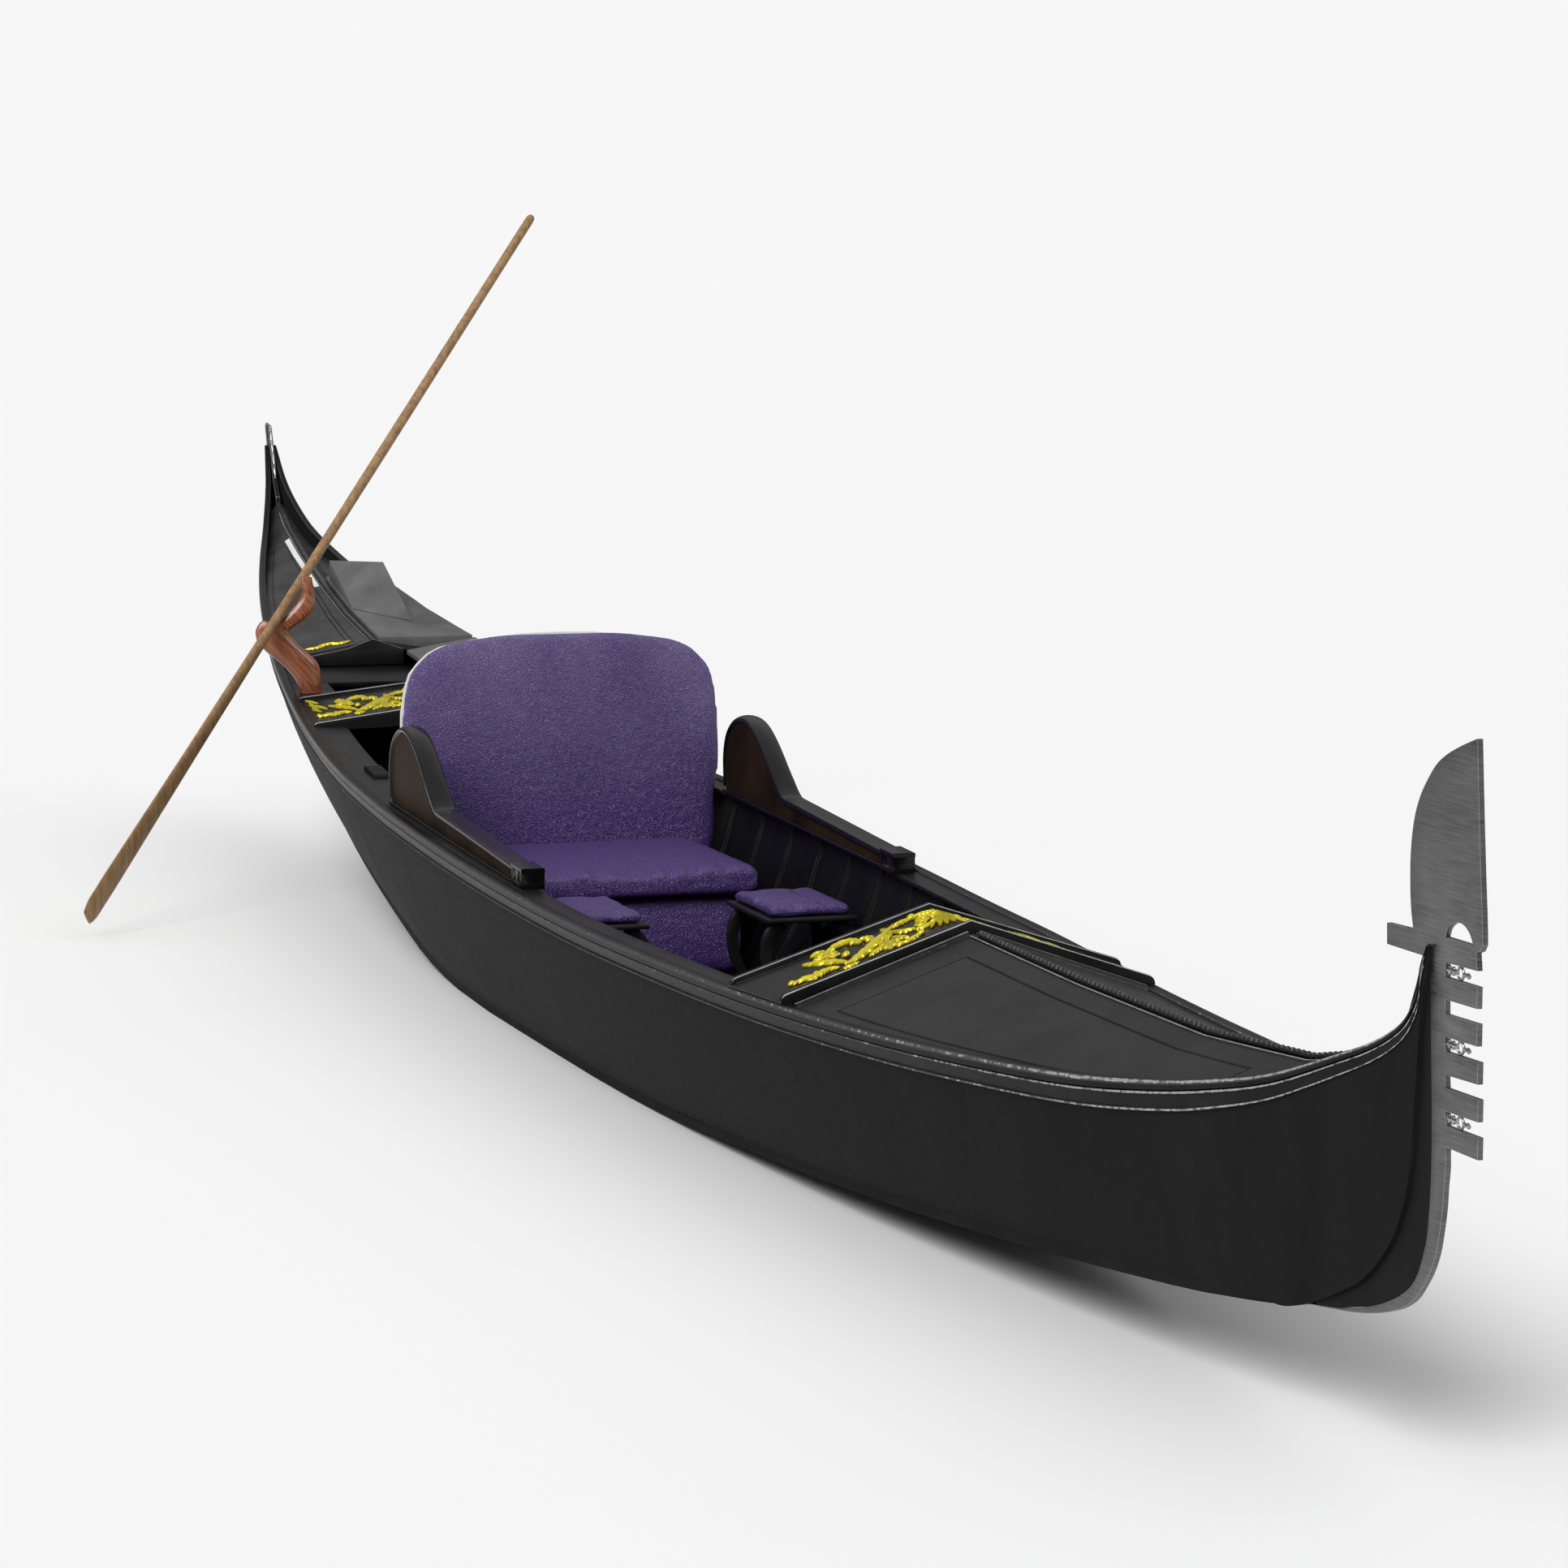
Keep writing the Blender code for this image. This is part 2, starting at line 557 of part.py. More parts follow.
def deck_half(name, side, low, high, ridge, edge_drop):
    """Half of a gabled deck, from the ridge on the centreline down to the side."""
    upper, lower = [], []
    for x in stations(low, high, deck_marks(ridge)):
        top_in = column(ridge, x)
        top_out = sheer_z(x) - edge_drop(x)
        out = reach(x, top_out - DECK, top_out)
        spread = np.array([GAP, out * 0.35, out * 0.70, out])
        rise = np.interp(spread, [GAP, out], [top_in, top_out])
        upper.append([(x, y, z) for y, z in zip(spread, rise)])
        lower.append([(x, y, z - DECK) for y, z in zip(spread, rise)])
    return slab(name, on_side(np.array(upper), side), on_side(np.array(lower), side), LOOKS["deck"])


def decks():
    def drop_aft(x):
        return float(np.interp(x, [-5.26, -4.60, -3.51], [0.075, 0.035, DECK_DROP]))

    for side in ("starboard", "port"):
        deck_half(f"foredeck_{side}", side, FORE_BEAM_X[1] + 0.010, 5.060, FORE_RIDGE,
                  lambda x: DECK_DROP)
        deck_half(f"stern_deck_{side}", side, -5.240, -3.512, AFT_RIDGE, drop_aft)


def ridge_trim(name, low, high, ridge, half, high_above, edge_drop):
    """A rope moulding along a deck's ridge."""
    rings = []
    for x in stations(low, high, deck_marks(ridge)):
        top = column(ridge, x)
        edge = sheer_z(x) - edge_drop
        slope = (top - edge) / reach(x, edge - DECK, edge)
        foot = top - slope * half + 3 * GAP
        rings.append([(x, -half, foot), (x, 0.0, top + 3 * GAP), (x, half, foot),
                      (x, half * 0.8, top + high_above * 0.6), (x, 0.0, top + high_above),
                      (x, -half * 0.8, top + high_above * 0.6)])
    swept(name, rings, LOOKS["deck"], False)


def beam_line(x, kind):
    """Half length, end height and middle height of a crossbeam's top at x."""
    if kind == "front":
        return sheer_y(x) - 0.004, sheer_z(x) + 0.005, 0.716
    edge = sheer_z(x) - DECK_DROP
    return reach(x, edge - 0.014, edge + LIP), edge, float(np.interp(x, AFT_BEAM_X, [0.752, 0.722]))


def beam(name, span, kind):
    """A gabled crossbeam with a raised rail along each edge; the front one lies over the rails."""
    low, high = span
    rows = [(low, 1.0), (low + LIP, 1.0), (low + LIP + 0.002, 0.0)]
    rows += [(x, 0.0) for x in stations(low + 0.03, high - 0.03)]
    rows += [(high - LIP - 0.002, 0.0), (high - LIP, 1.0), (high, 1.0)]
    upper, lower = [], []
    for x, lift in rows:
        end, edge, crown = beam_line(x, kind)
        inside = min(reach(x, sheer_z(x) - 0.026, sheer_z(x)), end - 0.004)
        half = np.array([0.0, end / 2, inside - 0.003, inside, end])
        top = np.interp(half, [0.0, end], [crown, edge])
        under = top - np.interp(half, [0.0, end], [BEAM_DEPTH, 0.014])
        if kind == "front":
            under[-2:] = np.maximum(under[-2:], sheer_z(x) + 2 * GAP)
        ys = np.concatenate([-half[:0:-1], half])
        tops = np.concatenate([top[:0:-1], top])
        unders = np.concatenate([under[:0:-1], under])
        upper.append([(x, y, z + LIP * lift) for y, z in zip(ys, tops)])
        lower.append([(x, y, z) for y, z in zip(ys, unders)])
    slab(name, upper, lower, LOOKS["black"])


def crossbeams():
    beam("front_crossbeam", FORE_BEAM_X, "front")
    beam("rear_crossbeam", AFT_BEAM_X, "rear")


def beam_z(x, y, kind):
    """Height of a crossbeam's top between its two edge rails."""
    end, edge, crown = beam_line(x, kind)
    return float(np.interp(y, [0.0, end], [crown, edge]))


def carving(name, side, span, from_y, to_y, kind, wave, half):
    """A gilded leaf scroll in low relief, winding along a crossbeam."""
    centre = (span[0] + span[1]) / 2
    rings = []
    for t in np.linspace(0.0, 1.0, 25):
        y = from_y + (to_y - from_y) * t
        x = centre + wave * math.sin(t * 2.2 * math.pi)
        wide = half * (0.35 + 0.65 * math.sin(math.pi * (0.08 + 0.84 * t))) * (1 + 0.25 * math.sin(t * 22))
        profile = [(-1.0, 0.0009), (1.0, 0.0009), (0.5, 0.013), (-0.5, 0.013)]
        rings.append([(x + wide * u, y, beam_z(x + wide * u, y, kind) + h) for u, h in profile])
    swept(name, on_side(np.array(rings), side), LOOKS["gold"], False)


def carvings():
    for side in ("starboard", "port"):
        carving(f"front_carving_{side}", side, FORE_BEAM_X, 0.030, 0.400, "front", 0.045, 0.050)
        carving(f"rear_carving_{side}", side, AFT_BEAM_X, 0.040, 0.360, "rear", 0.060, 0.050)


def side_cappings():
    for side in ("starboard", "port"):
        upper, lower = [], []
        for x in stations(AFT_BEAM_X[1] + 0.0015, FORE_BEAM_X[0] - 0.0015, (-1.0, -0.9)):
            top = sheer_z(x) - 0.008
            out = reach(x, top - DECK, top)
            width = float(np.interp(x, [-1.0, -0.9], [0.150, CAPPING_IN]))
            inner = sheer_y(x) - width
            upper.append([(x, inner, top), (x, out, top)])
            lower.append([(x, inner, top - DECK), (x, out, top - DECK)])
        slab(f"side_capping_{side}", on_side(np.array(upper), side), on_side(np.array(lower), side),
             LOOKS["deck"])


def linings():
    """Boarded inner sides of the cockpit with upright battens."""
    for side in ("starboard", "port"):
        battens = np.arange(COCKPIT_X[0] + 0.155, COCKPIT_X[1] - 0.06, BATTEN_PITCH)
        marks = []
        for b in battens:
            marks += [b - BATTEN_HALF - 0.001, b - BATTEN_HALF + 0.001, b + BATTEN_HALF - 0.001,
                      b + BATTEN_HALF + 0.001]
        outer, inner = [], []
        for x in stations(COCKPIT_X[0], COCKPIT_X[1], marks):
            thick = 0.021 if np.abs(battens - x).min() < BATTEN_HALF else 0.010
            top = sheer_z(x) - 0.008 - DECK - GAP
            levels = np.linspace(FLOOR_TOP + GAP, top, 4)
            ys = [reach(x, z, z) - 0.0002 for z in levels]
            outer.append([(x, y, z) for y, z in zip(ys, levels)])
            inner.append([(x, y - thick, z) for y, z in zip(ys, levels)])
        slab(f"side_lining_{side}", on_side(np.array(outer), side), on_side(np.array(inner), side),
             LOOKS["black"])


def floor_boards():
    """The floor of the cockpit on bearers that stand on the bottom planks."""
    xs = []
    bearers = np.arange(COCKPIT_X[0] + 0.05, COCKPIT_X[1], 0.55)
    for b in bearers:
        xs += [b - 0.021, b - 0.020, b + 0.020, b + 0.021]
    upper, lower = [], []
    for x in stations(COCKPIT_X[0], COCKPIT_X[1], tuple(xs)):
        out = reach(x, FLOOR_TOP - FLOOR_T, FLOOR_TOP)
        foot = keel_z(x) + PLANK + 2 * GAP
        deep = foot if min(abs(x - b) for b in bearers) < 0.0205 else FLOOR_TOP - FLOOR_T
        ys = [-out, -0.24, -0.238, 0.238, 0.24, out]
        upper.append([(x, y, FLOOR_TOP) for y in ys])
        lows = [FLOOR_TOP - FLOOR_T] * 2 + [deep] * 2 + [FLOOR_TOP - FLOOR_T] * 2
        lower.append([(x, y, z) for y, z in zip(ys, lows)])
    slab("floor_boards", upper, lower, LOOKS["black"])


def seat():
    box("seat_base", (-0.86, -0.375, FLOOR_TOP + GAP), (-0.02, 0.375, SEAT_BASE_TOP), LOOKS["leather"])
    cushion = box("seat_cushion", (-0.745, -SEAT_HALF, SEAT_BASE_TOP + GAP), (0.015, SEAT_HALF, SEAT_TOP),
                  LOOKS["leather"])
    round_edges(cushion, 0.022)

    def leaning(u, v, w):
        return (w - BACK_LEAN * (v - SEAT_BASE_TOP), u, v)

    right = BACK_EDGE + [(0.0, BACK_TOP)]
    outline = right + [(-u, v) for u, v in BACK_EDGE[::-1]]
    rear = BACK_FRONT - BACK_T
    back = prism("seat_backrest", outline, leaning, rear, BACK_FRONT, LOOKS["leather"])
    round_edges(back, 0.012)
    shell = [(u * 1.006, v + 0.003) if v > 0.65 else (u, v) for u, v in outline]
    prism("backrest_shell", shell, leaning, rear - GAP - SHELL_T, rear - GAP, LOOKS["shell"])


ARM_IN = 0.522
ARM_OUT = 0.5915


def armrests():
    """A high round shoulder at the rear, a long arm that sinks forwards and a block at the fore end."""
    crest = [(-0.715, 0.740), (-0.690, 0.790), (-0.640, 0.830), (-0.570, 0.855), (-0.500, 0.857),
             (-0.430, 0.842), (-0.360, 0.812), (-0.270, 0.760), (-0.120, 0.665), (-0.060, 0.645),
             (0.800, 0.603), (0.805, 0.610), (0.915, 0.606)]
    foot = [(x, sheer_z(x) - 0.008 + 2 * GAP) for x in stations(-0.715, 0.915)]
    for side, sign in (("starboard", -1), ("port", 1)):
        item = prism(f"armrest_{side}", foot + crest[::-1], in_plane, sign * ARM_IN, sign * ARM_OUT,
                     LOOKS["black"])
        round_edges(item, 0.010)


def stools():
    """Two low stools, each a board on four bowed legs with a loose pad."""
    places = {"port": (0.325, 0.720, 0.205, 0.485), "starboard": (0.305, 0.700, -0.425, -0.150)}
    for side, (x0, x1, y0, y1) in places.items():
        board = box(f"stool_frame_{side}", (x0, y0, STOOL_TOP - 0.016), (x1, y1, STOOL_TOP), LOOKS["black"])
        legs = []
        for x in (x0 + 0.035, x1 - 0.035):
            for y, out in ((y0 + 0.080, -1), (y1 - 0.090, 1)):
                shape = leg_outline(y, out)
                leg = prism(f"leg_{side}_{x:.2f}_{y:.2f}", shape, lambda u, v, w: (w, u, v), x - 0.011,
                            x + 0.011, LOOKS["black"])
                legs.append(leg)
        join_with(board, legs)
        pad = box(f"stool_cushion_{side}", (x0 + 0.016, y0 + 0.012, STOOL_TOP + GAP),
                  (x1 - 0.016, y1 - 0.012, STOOL_TOP + 0.034), LOOKS["leather"])
        round_edges(pad, 0.010)


def leg_outline(y, out):
    """A sabre-shaped leg: out at the knee, in at the ankle, out again at the foot."""
    low = FLOOR_TOP + GAP
    high = STOOL_TOP - 0.010
    left, right = [], []
    for t in np.linspace(0, 1, 9):
        z = low + (high - low) * t
        bow = 0.030 * math.sin(math.pi * (1.9 * t - 0.75))
        wide = 0.014 + 0.010 * t
        left.append((y + out * bow - wide, z))
        right.append((y + out * bow + wide, z))
    return right + left[::-1]


THWART_X = (-3.490, -3.120)
BULKHEAD_X = (-3.5115, -3.4935)


def side_deck_z(x):
    return sheer_z(x) - 0.008


def quarter_decks():
    """Short side decks beside the aft hatch; the rowlock stands on the starboard one."""
    for side in ("starboard", "port"):
        upper, lower = [], []
        for x in stations(THWART_X[1] + 0.001, AFT_BEAM_X[0] - 0.001, (NOTCH.x - 0.022, NOTCH.x + 0.022)):
            top = side_deck_z(x)
            out = reach(x, top - 0.020, top)
            upper.append([(x, 0.262, top), (x, out, top)])
            lower.append([(x, 0.262, top - 0.020), (x, out, top - 0.020)])
        slab(f"quarter_deck_{side}", on_side(np.array(upper), side), on_side(np.array(lower), side),
             LOOKS["deck"])


def aft_pieces():
    upper, lower = [], []
    for x in stations(*THWART_X):
        top = float(np.interp(x, THWART_X, [0.764, 0.740]))
        out = reach(x, top - 0.020, top)
        upper.append([(x, -out, top), (x, out, top)])
        lower.append([(x, -out, top - 0.020), (x, out, top - 0.020)])
    slab("aft_thwart", upper, lower, LOOKS["black"])
    side = reach(BULKHEAD_X[0], 0.7, 0.8) - 0.006
    outline = [(-side, 0.768), (0.118, 0.768), (0.118, 0.827), (0.0, 0.868), (-0.10, 0.832),
               (-0.23, 0.808), (-side, 0.800)]
    prism("aft_bulkhead", outline, lambda u, v, w: (w, u, v), BULKHEAD_X[0], BULKHEAD_X[1],
          LOOKS["black"])


def rowing_platform():
    """Covered standing platform on the port half of the stern deck, level across."""
    upper, lower = [], []
    for x in stations(-4.470, -3.514, deck_marks(AFT_RIDGE)):
        top = column(PLATFORM, x)
        edge = sheer_z(x) - float(np.interp(x, [-5.26, -4.60, -3.51], [0.075, 0.035, DECK_DROP]))
        out = reach(x, edge - DECK, edge)
        ridge = column(AFT_RIDGE, x)
        deck_at = np.interp([0.030, out * 0.5, out - 0.002], [0.0, out], [ridge, edge]) + 0.0018
        ys = [0.030, out * 0.5, out - 0.002, out + 0.002, sheer_y(x) + 0.012]
        zs = list(deck_at) + [sheer_z(x) + 2 * GAP, sheer_z(x) + 2 * GAP]
        upper.append([(x, y, max(top, z + 0.006)) for y, z in zip(ys, zs)])
        lower.append([(x, y, z) for y, z in zip(ys, zs)])
    slab("rowing_platform", upper, lower, LOOKS["carpet"])
    upper, lower = [], []
    for x in stations(-3.488, -2.870):
        inner_top = float(np.interp(x, [-3.488, -2.870], [0.822, 0.775]))
        outer_top = float(np.interp(x, [-3.488, -2.870], [0.866, 0.790]))
        rail_in = sheer_y(x) - float(end_size(x, "rail_in")) - 0.004
        ys = [0.130, 0.28, rail_in, sheer_y(x) + 0.012]
        tops = np.interp(ys, [ys[0], ys[-1]], [inner_top, outer_top])
        lows = [inner_top - 0.018, inner_top - 0.018, sheer_z(x) + 2 * GAP, sheer_z(x) + 2 * GAP]
        upper.append([(x, y, z) for y, z in zip(ys, tops)])
        lower.append([(x, y, min(z, t - 0.006)) for y, z, t in zip(ys, lows, tops)])
    slab("side_platform", upper, lower, LOOKS["carpet"])


def foot_wedge():
    """A raised wedge on the platform for the rower's rear foot, turned towards the bow."""
    corners = [(-4.000, 0.034), (-3.770, 0.222), (-4.170, 0.198), (-4.420, 0.034)]
    lift = [0.004, 0.004, 0.139, 0.080]
    base = [(x, y, column(PLATFORM, x) + FIT) for x, y in corners]
    points = base + [(x, y, z + h) for (x, y, z), h in zip(base, lift)]
    faces = [(0, 1, 2), (0, 2, 3), (4, 5, 6), (4, 6, 7)]
    faces += [(j, (j + 1) % 4, 4 + (j + 1) % 4, 4 + j) for j in range(4)]
    solid("foot_wedge", points, faces, LOOKS["carpet"])


def rowlock():
    """The carved rowlock: an S-shaped post that leans outboard, with a notch for the oar."""
    half = 0.022
    foot = [(-0.396, 0.0), (-0.320, 0.0)]
    outline = [(-0.328, 0.826), (-0.376, 0.873), (-0.432, 0.928), (-0.438, 0.952), (-0.360, 1.010),
               (-0.340, 1.055), (-0.347, 1.135), (-0.356, 1.154), (-0.384, 1.155), (-0.386, 1.086),
               (-0.413, 1.042), (-0.436, 1.022), (-0.466, 0.996), (-0.502, 0.984), (-0.532, 0.990),
               (-0.556, 0.958), (-0.552, 0.918), (-0.518, 0.876), (-0.462, 0.830), (-0.410, 0.766)]

    def standing(u, v, w):
        return (w, u, v if v > 0 else side_deck_z(w) + GAP)

    item = prism("rowlock", foot + outline, standing, NOTCH.x - half, NOTCH.x + half, LOOKS["walnut"])
    round_edges(item, 0.008)


def oar():
    """The oar lies in the notch; its origin is there, where it pivots."""
    along = (OAR_TIP - OAR_GRIP).normalized()
    flat = along.cross(Vector((0, 0, 1))).normalized()
    across = along.cross(flat).normalized()
    rings = []
    for s, wide, thick in OAR_SHAPE:
        centre = OAR_GRIP + along * s - NOTCH
        rings.append([centre + across * wide * math.cos(a) + flat * thick * math.sin(a)
                      for a in np.linspace(0, 2 * math.pi, 13)[:-1]])
    item = swept("oar", rings, LOOKS["ash"])
    item.location = NOTCH


def build():
    hull_sides()
    hull_bottom()
    gunwale_rails()
    rub_bands()
    bow_stem()
    bow_iron()
    bow_iron_ornaments()
    stern_post()
    stern_iron()
    decks()
    ridge_trim("foredeck_ridge_trim", 2.960, 5.000, FORE_RIDGE, 0.011, 0.012, DECK_DROP)
    crossbeams()
    carvings()
    side_cappings()
    linings()
    floor_boards()
    seat()
    armrests()
    stools()
    quarter_decks()
    aft_pieces()
    rowing_platform()
    foot_wedge()
    rowlock()
    oar()


clear_scene()
build()
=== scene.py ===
# %% [markdown]
# # A rowed Venetian gondola
#
# The solid model of the boat is loaded as a fixed frame. Everything made here rides on it: finishes
# for the solids that already have the right shape, and finer pieces where the real boat has carving,
# padding or rope work that a plain solid can't show.

# %% Load the frame
import math

import bmesh
import bpy
import numpy as np
from mathutils import Matrix, Vector


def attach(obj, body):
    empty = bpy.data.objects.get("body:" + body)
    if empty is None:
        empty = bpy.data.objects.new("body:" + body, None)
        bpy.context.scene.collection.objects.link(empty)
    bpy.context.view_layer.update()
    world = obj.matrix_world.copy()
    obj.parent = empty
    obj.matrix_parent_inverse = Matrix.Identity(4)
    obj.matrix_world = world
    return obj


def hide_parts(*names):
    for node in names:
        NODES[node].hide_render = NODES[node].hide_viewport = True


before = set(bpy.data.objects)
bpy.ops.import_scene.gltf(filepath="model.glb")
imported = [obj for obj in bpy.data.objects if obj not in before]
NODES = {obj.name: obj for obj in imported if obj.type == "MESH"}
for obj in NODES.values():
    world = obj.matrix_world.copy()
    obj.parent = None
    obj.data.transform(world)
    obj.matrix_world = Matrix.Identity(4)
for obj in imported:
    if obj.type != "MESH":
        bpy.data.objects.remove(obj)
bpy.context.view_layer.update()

# %% [markdown]
# ## Camera
#
# The photograph was taken from high off the starboard bow with a long lens, which is why the bow
# iron looks as tall as the whole boat is wide. A camera could be aimed with a Track To constraint,
# but its three directions are known exactly here, so they go straight into its matrix.

# %% Place the camera
CAMERA_AT = Vector((12.2537, -3.6150, 2.2919))
CAMERA_RIGHT = Vector((0.31738, 0.94829, 0.00490))
CAMERA_UP = Vector((-0.11734, 0.03415, 0.99250))
CAMERA_AHEAD = Vector((-0.94101, 0.31557, -0.12211))
SENSOR_MM = 36.0
LENS_MM = 96.502
FAR = 200.0


def placed(name, data):
    """An object for a mesh, a lamp or a camera, linked to the scene."""
    item = bpy.data.objects.new(name, data)
    bpy.context.scene.collection.objects.link(item)
    return item


camera_data = bpy.data.cameras.new("photo_camera")
camera_data.sensor_width = SENSOR_MM
camera_data.lens = LENS_MM
camera_data.clip_end = FAR
camera = placed("photo_camera", camera_data)
turned = Matrix((CAMERA_RIGHT, CAMERA_UP, -CAMERA_AHEAD)).transposed().to_4x4()
turned.translation = CAMERA_AT
camera.matrix_world = turned
bpy.context.scene.camera = camera
print("camera", tuple(round(v, 3) for v in CAMERA_AT), LENS_MM, "mm")

# %% [markdown]
# ## Nodes
#
# A material, and the sky too, is a tree of nodes. Typing out every node and link hides the idea, so
# one helper adds a node, sets its options and either links or fills each of its sockets.

# %% Add and fill nodes
EVEN = (1.0, 1.0, 1.0)


def fill(tree, made, sockets):
    """Fill a node's sockets. A value is a number or colour, which is set, or an output, which is linked."""
    for name, value in sockets.items():
        if isinstance(value, bpy.types.NodeSocket):
            tree.links.new(value, made.inputs[name])
        else:
            made.inputs[name].default_value = value


def node(tree, kind, sockets=None, **settings):
    """Add one shader node, set its options and fill its sockets."""
    made = tree.nodes.new("ShaderNode" + kind)
    for name, value in settings.items():
        setattr(made, name, value)
    fill(tree, made, sockets or {})
    return made


def maths(tree, operation, *values, **settings):
    """The result of one sum on numbers."""
    return node(tree, "Math", dict(enumerate(values)), operation=operation, **settings).outputs[0]


def ramp(tree, value, begin, end, low=0.0, high=1.0, **settings):
    """A number that runs from low to high as a value runs from begin to end."""
    sockets = {"Value": value, "From Min": begin, "From Max": end, "To Min": low, "To Max": high}
    return node(tree, "MapRange", sockets, **settings).outputs[0]


def level(tree, mask, low, high):
    """A number that runs from low to high as a mask runs from 0 to 1."""
    return ramp(tree, mask, 0.0, 1.0, low, high)


def start(name):
    """A new material, its tree and its one shader."""
    look = bpy.data.materials.new(name)
    look.use_nodes = True
    return look, look.node_tree, look.node_tree.nodes["Principled BSDF"]


def object_place(tree):
    """Where a point lies in the object's own coordinates."""
    return node(tree, "TexCoord").outputs["Object"]


def wear_and_shade_of(tree):
    """The value called wear that the pieces carry on their points: rubbed wear, and painted shade on the gilt
    carving.
    """
    return node(tree, "Attribute", attribute_name="wear").outputs["Fac"]


print("node helpers ready")

# %% [markdown]
# ## Studio
#
# The photograph has an even white ground, yet the black paint shows hardly any white in its
# reflections. So the light comes from a soft dome that is bright overhead and dim at the horizon,
# while the ground the camera sees behind the boat is plain pale. One broad soft sun from over the
# camera's shoulder lights the floor evenly out to the horizon, which a lamp near the boat would not.
# Two tall strip lamps, seen only in reflections, draw the thin highlights along glossy rounded edges.

# %% Build the studio
GROUND = 0.93           # the even tone behind and under the boat
OVERHEAD = 0.80         # the dome's light straight up
HORIZON = 0.10          # and at the horizon
RISES = (0.05, 0.85)    # between these heights of a unit direction the dome brightens
FLOOR_HALF = 900        # metres, so that the floor's edge never shows
FLOOR_TONE = 0.86
SUN, STRIP = 2.1, 260.0     # how bright the lamps are
SUN_FROM = Vector((8.0, -7.5, 9.5))
STRIPS = {"strip_left": Vector((7.0, -10.0, 6.0)), "strip_right": Vector((6.0, 9.0, 7.0))}
AMIDSHIPS = Vector((0.0, 0.0, 0.6))

world = bpy.data.worlds.new("studio")
world.use_nodes = True
sky = world.node_tree
upwards = node(sky, "SeparateXYZ", {0: node(sky, "TexCoord").outputs["Generated"]}).outputs["Z"]
dome = ramp(sky, upwards, *RISES, HORIZON, OVERHEAD, interpolation_type="SMOOTHSTEP")
seen = node(sky, "LightPath").outputs["Is Camera Ray"]
choose = node(sky, "Mix", {"Factor": seen, "A": dome, "B": GROUND})
fill(sky, sky.nodes["Background"], {"Color": choose.outputs["Result"], "Strength": 1.0})
bpy.context.scene.world = world
bpy.context.scene.view_settings.view_transform = "Standard"

floor_mesh = bpy.data.meshes.new("studio_floor")
corners = [(FLOOR_HALF * x, FLOOR_HALF * y, 0) for x, y in ((-1, -1), (1, -1), (1, 1), (-1, 1))]
floor_mesh.from_pydata(corners, [], [(0, 1, 2, 3)])
studio_floor = placed("studio_floor", floor_mesh)
floor_look, tree, shader = start("studio_floor")
fill(tree, shader, {"Base Color": (FLOOR_TONE, FLOOR_TONE, FLOOR_TONE, 1.0), "Roughness": 1.0,
                    "Specular IOR Level": 0.0})
floor_mesh.materials.append(floor_look)


def lamp(name, kind, at, aim, energy, **settings):
    """A lamp at one point, turned towards another."""
    data = bpy.data.lights.new(name, kind)
    data.energy = energy
    for key, value in settings.items():
        setattr(data, key, value)
    item = placed(name, data)
    item.location = at
    item.rotation_euler = (aim - at).to_track_quat("-Z", "Y").to_euler()
    return item


lamp("soft_sun", "SUN", SUN_FROM, Vector(), SUN, angle=math.radians(34.0))
for label, at in STRIPS.items():
    strip_lamp = lamp(label, "AREA", at, AMIDSHIPS, STRIP, shape="RECTANGLE", size=0.6, size_y=6.0)
    strip_lamp.visible_diffuse = False
print("studio lamps", len(bpy.data.lights))

# %% [markdown]
# ## Shared effects
#
# Effects that several finishes share are node groups: they put out only masks and heights, and each
# material gives them its own sizes. Four of them cover the whole boat. Mottling is noise pulled long
# or short in each direction and cut between two levels. Rubbed edges show bare metal where paint has
# worn: the pieces carry a value called wear on their points, and noise breaks it up into patches.
# Pebbles are the small cells of leather. Grain is the long figure of timber.

# %% Build the four shared effects
def new_group(name, inputs, outputs):
    """An empty node group with named inputs (a number or a direction) and number outputs."""
    tree = bpy.data.node_groups.new(name, "ShaderNodeTree")
    for label, value in inputs.items():
        kind = "NodeSocketVector" if isinstance(value, tuple) else "NodeSocketFloat"
        tree.interface.new_socket(label, in_out="INPUT", socket_type=kind).default_value = value
    for label in outputs:
        tree.interface.new_socket(label, in_out="OUTPUT", socket_type="NodeSocketFloat")
    return tree, tree.nodes.new("NodeGroupInput").outputs, tree.nodes.new("NodeGroupOutput")


def use(tree, group, sockets):
    """Place a shared effect in a material and give it this finish's own sizes."""
    made = tree.nodes.new("ShaderNodeGroup")
    made.node_tree = group
    fill(tree, made, sockets)
    return made.outputs


MOTTLE, given, result = new_group("mottle", {"Stretch": EVEN, "Size": 8.0, "Low": 0.35, "High": 0.65},
                                  ["Mask"])
pulled = node(MOTTLE, "Mapping", {"Vector": object_place(MOTTLE), "Scale": given["Stretch"]})
cloud = node(MOTTLE, "TexNoise", {"Vector": pulled.outputs[0], "Scale": given["Size"], "Detail": 6.0,
                                  "Roughness": 0.6})
fill(MOTTLE, result, {"Mask": ramp(MOTTLE, cloud.outputs[0], given["Low"], given["High"])})

RUBBED, given, result = new_group("rubbed_edge", {"Size": 25.0, "Cover": 0.5, "Break": 0.5}, ["Wear"])
edge = wear_and_shade_of(RUBBED)
cloud = node(RUBBED, "TexNoise", {"Vector": object_place(RUBBED), "Scale": given["Size"], "Detail": 5.0,
                                  "Roughness": 0.7})
broken = maths(RUBBED, "MULTIPLY", maths(RUBBED, "SUBTRACT", cloud.outputs[0], 0.5), given["Break"])
bare = ramp(RUBBED, maths(RUBBED, "ADD", edge, broken), given["Cover"], 1.0)
on_edge = maths(RUBBED, "GREATER_THAN", edge, 0.02)
fill(RUBBED, result, {"Wear": maths(RUBBED, "MULTIPLY", bare, on_edge)})

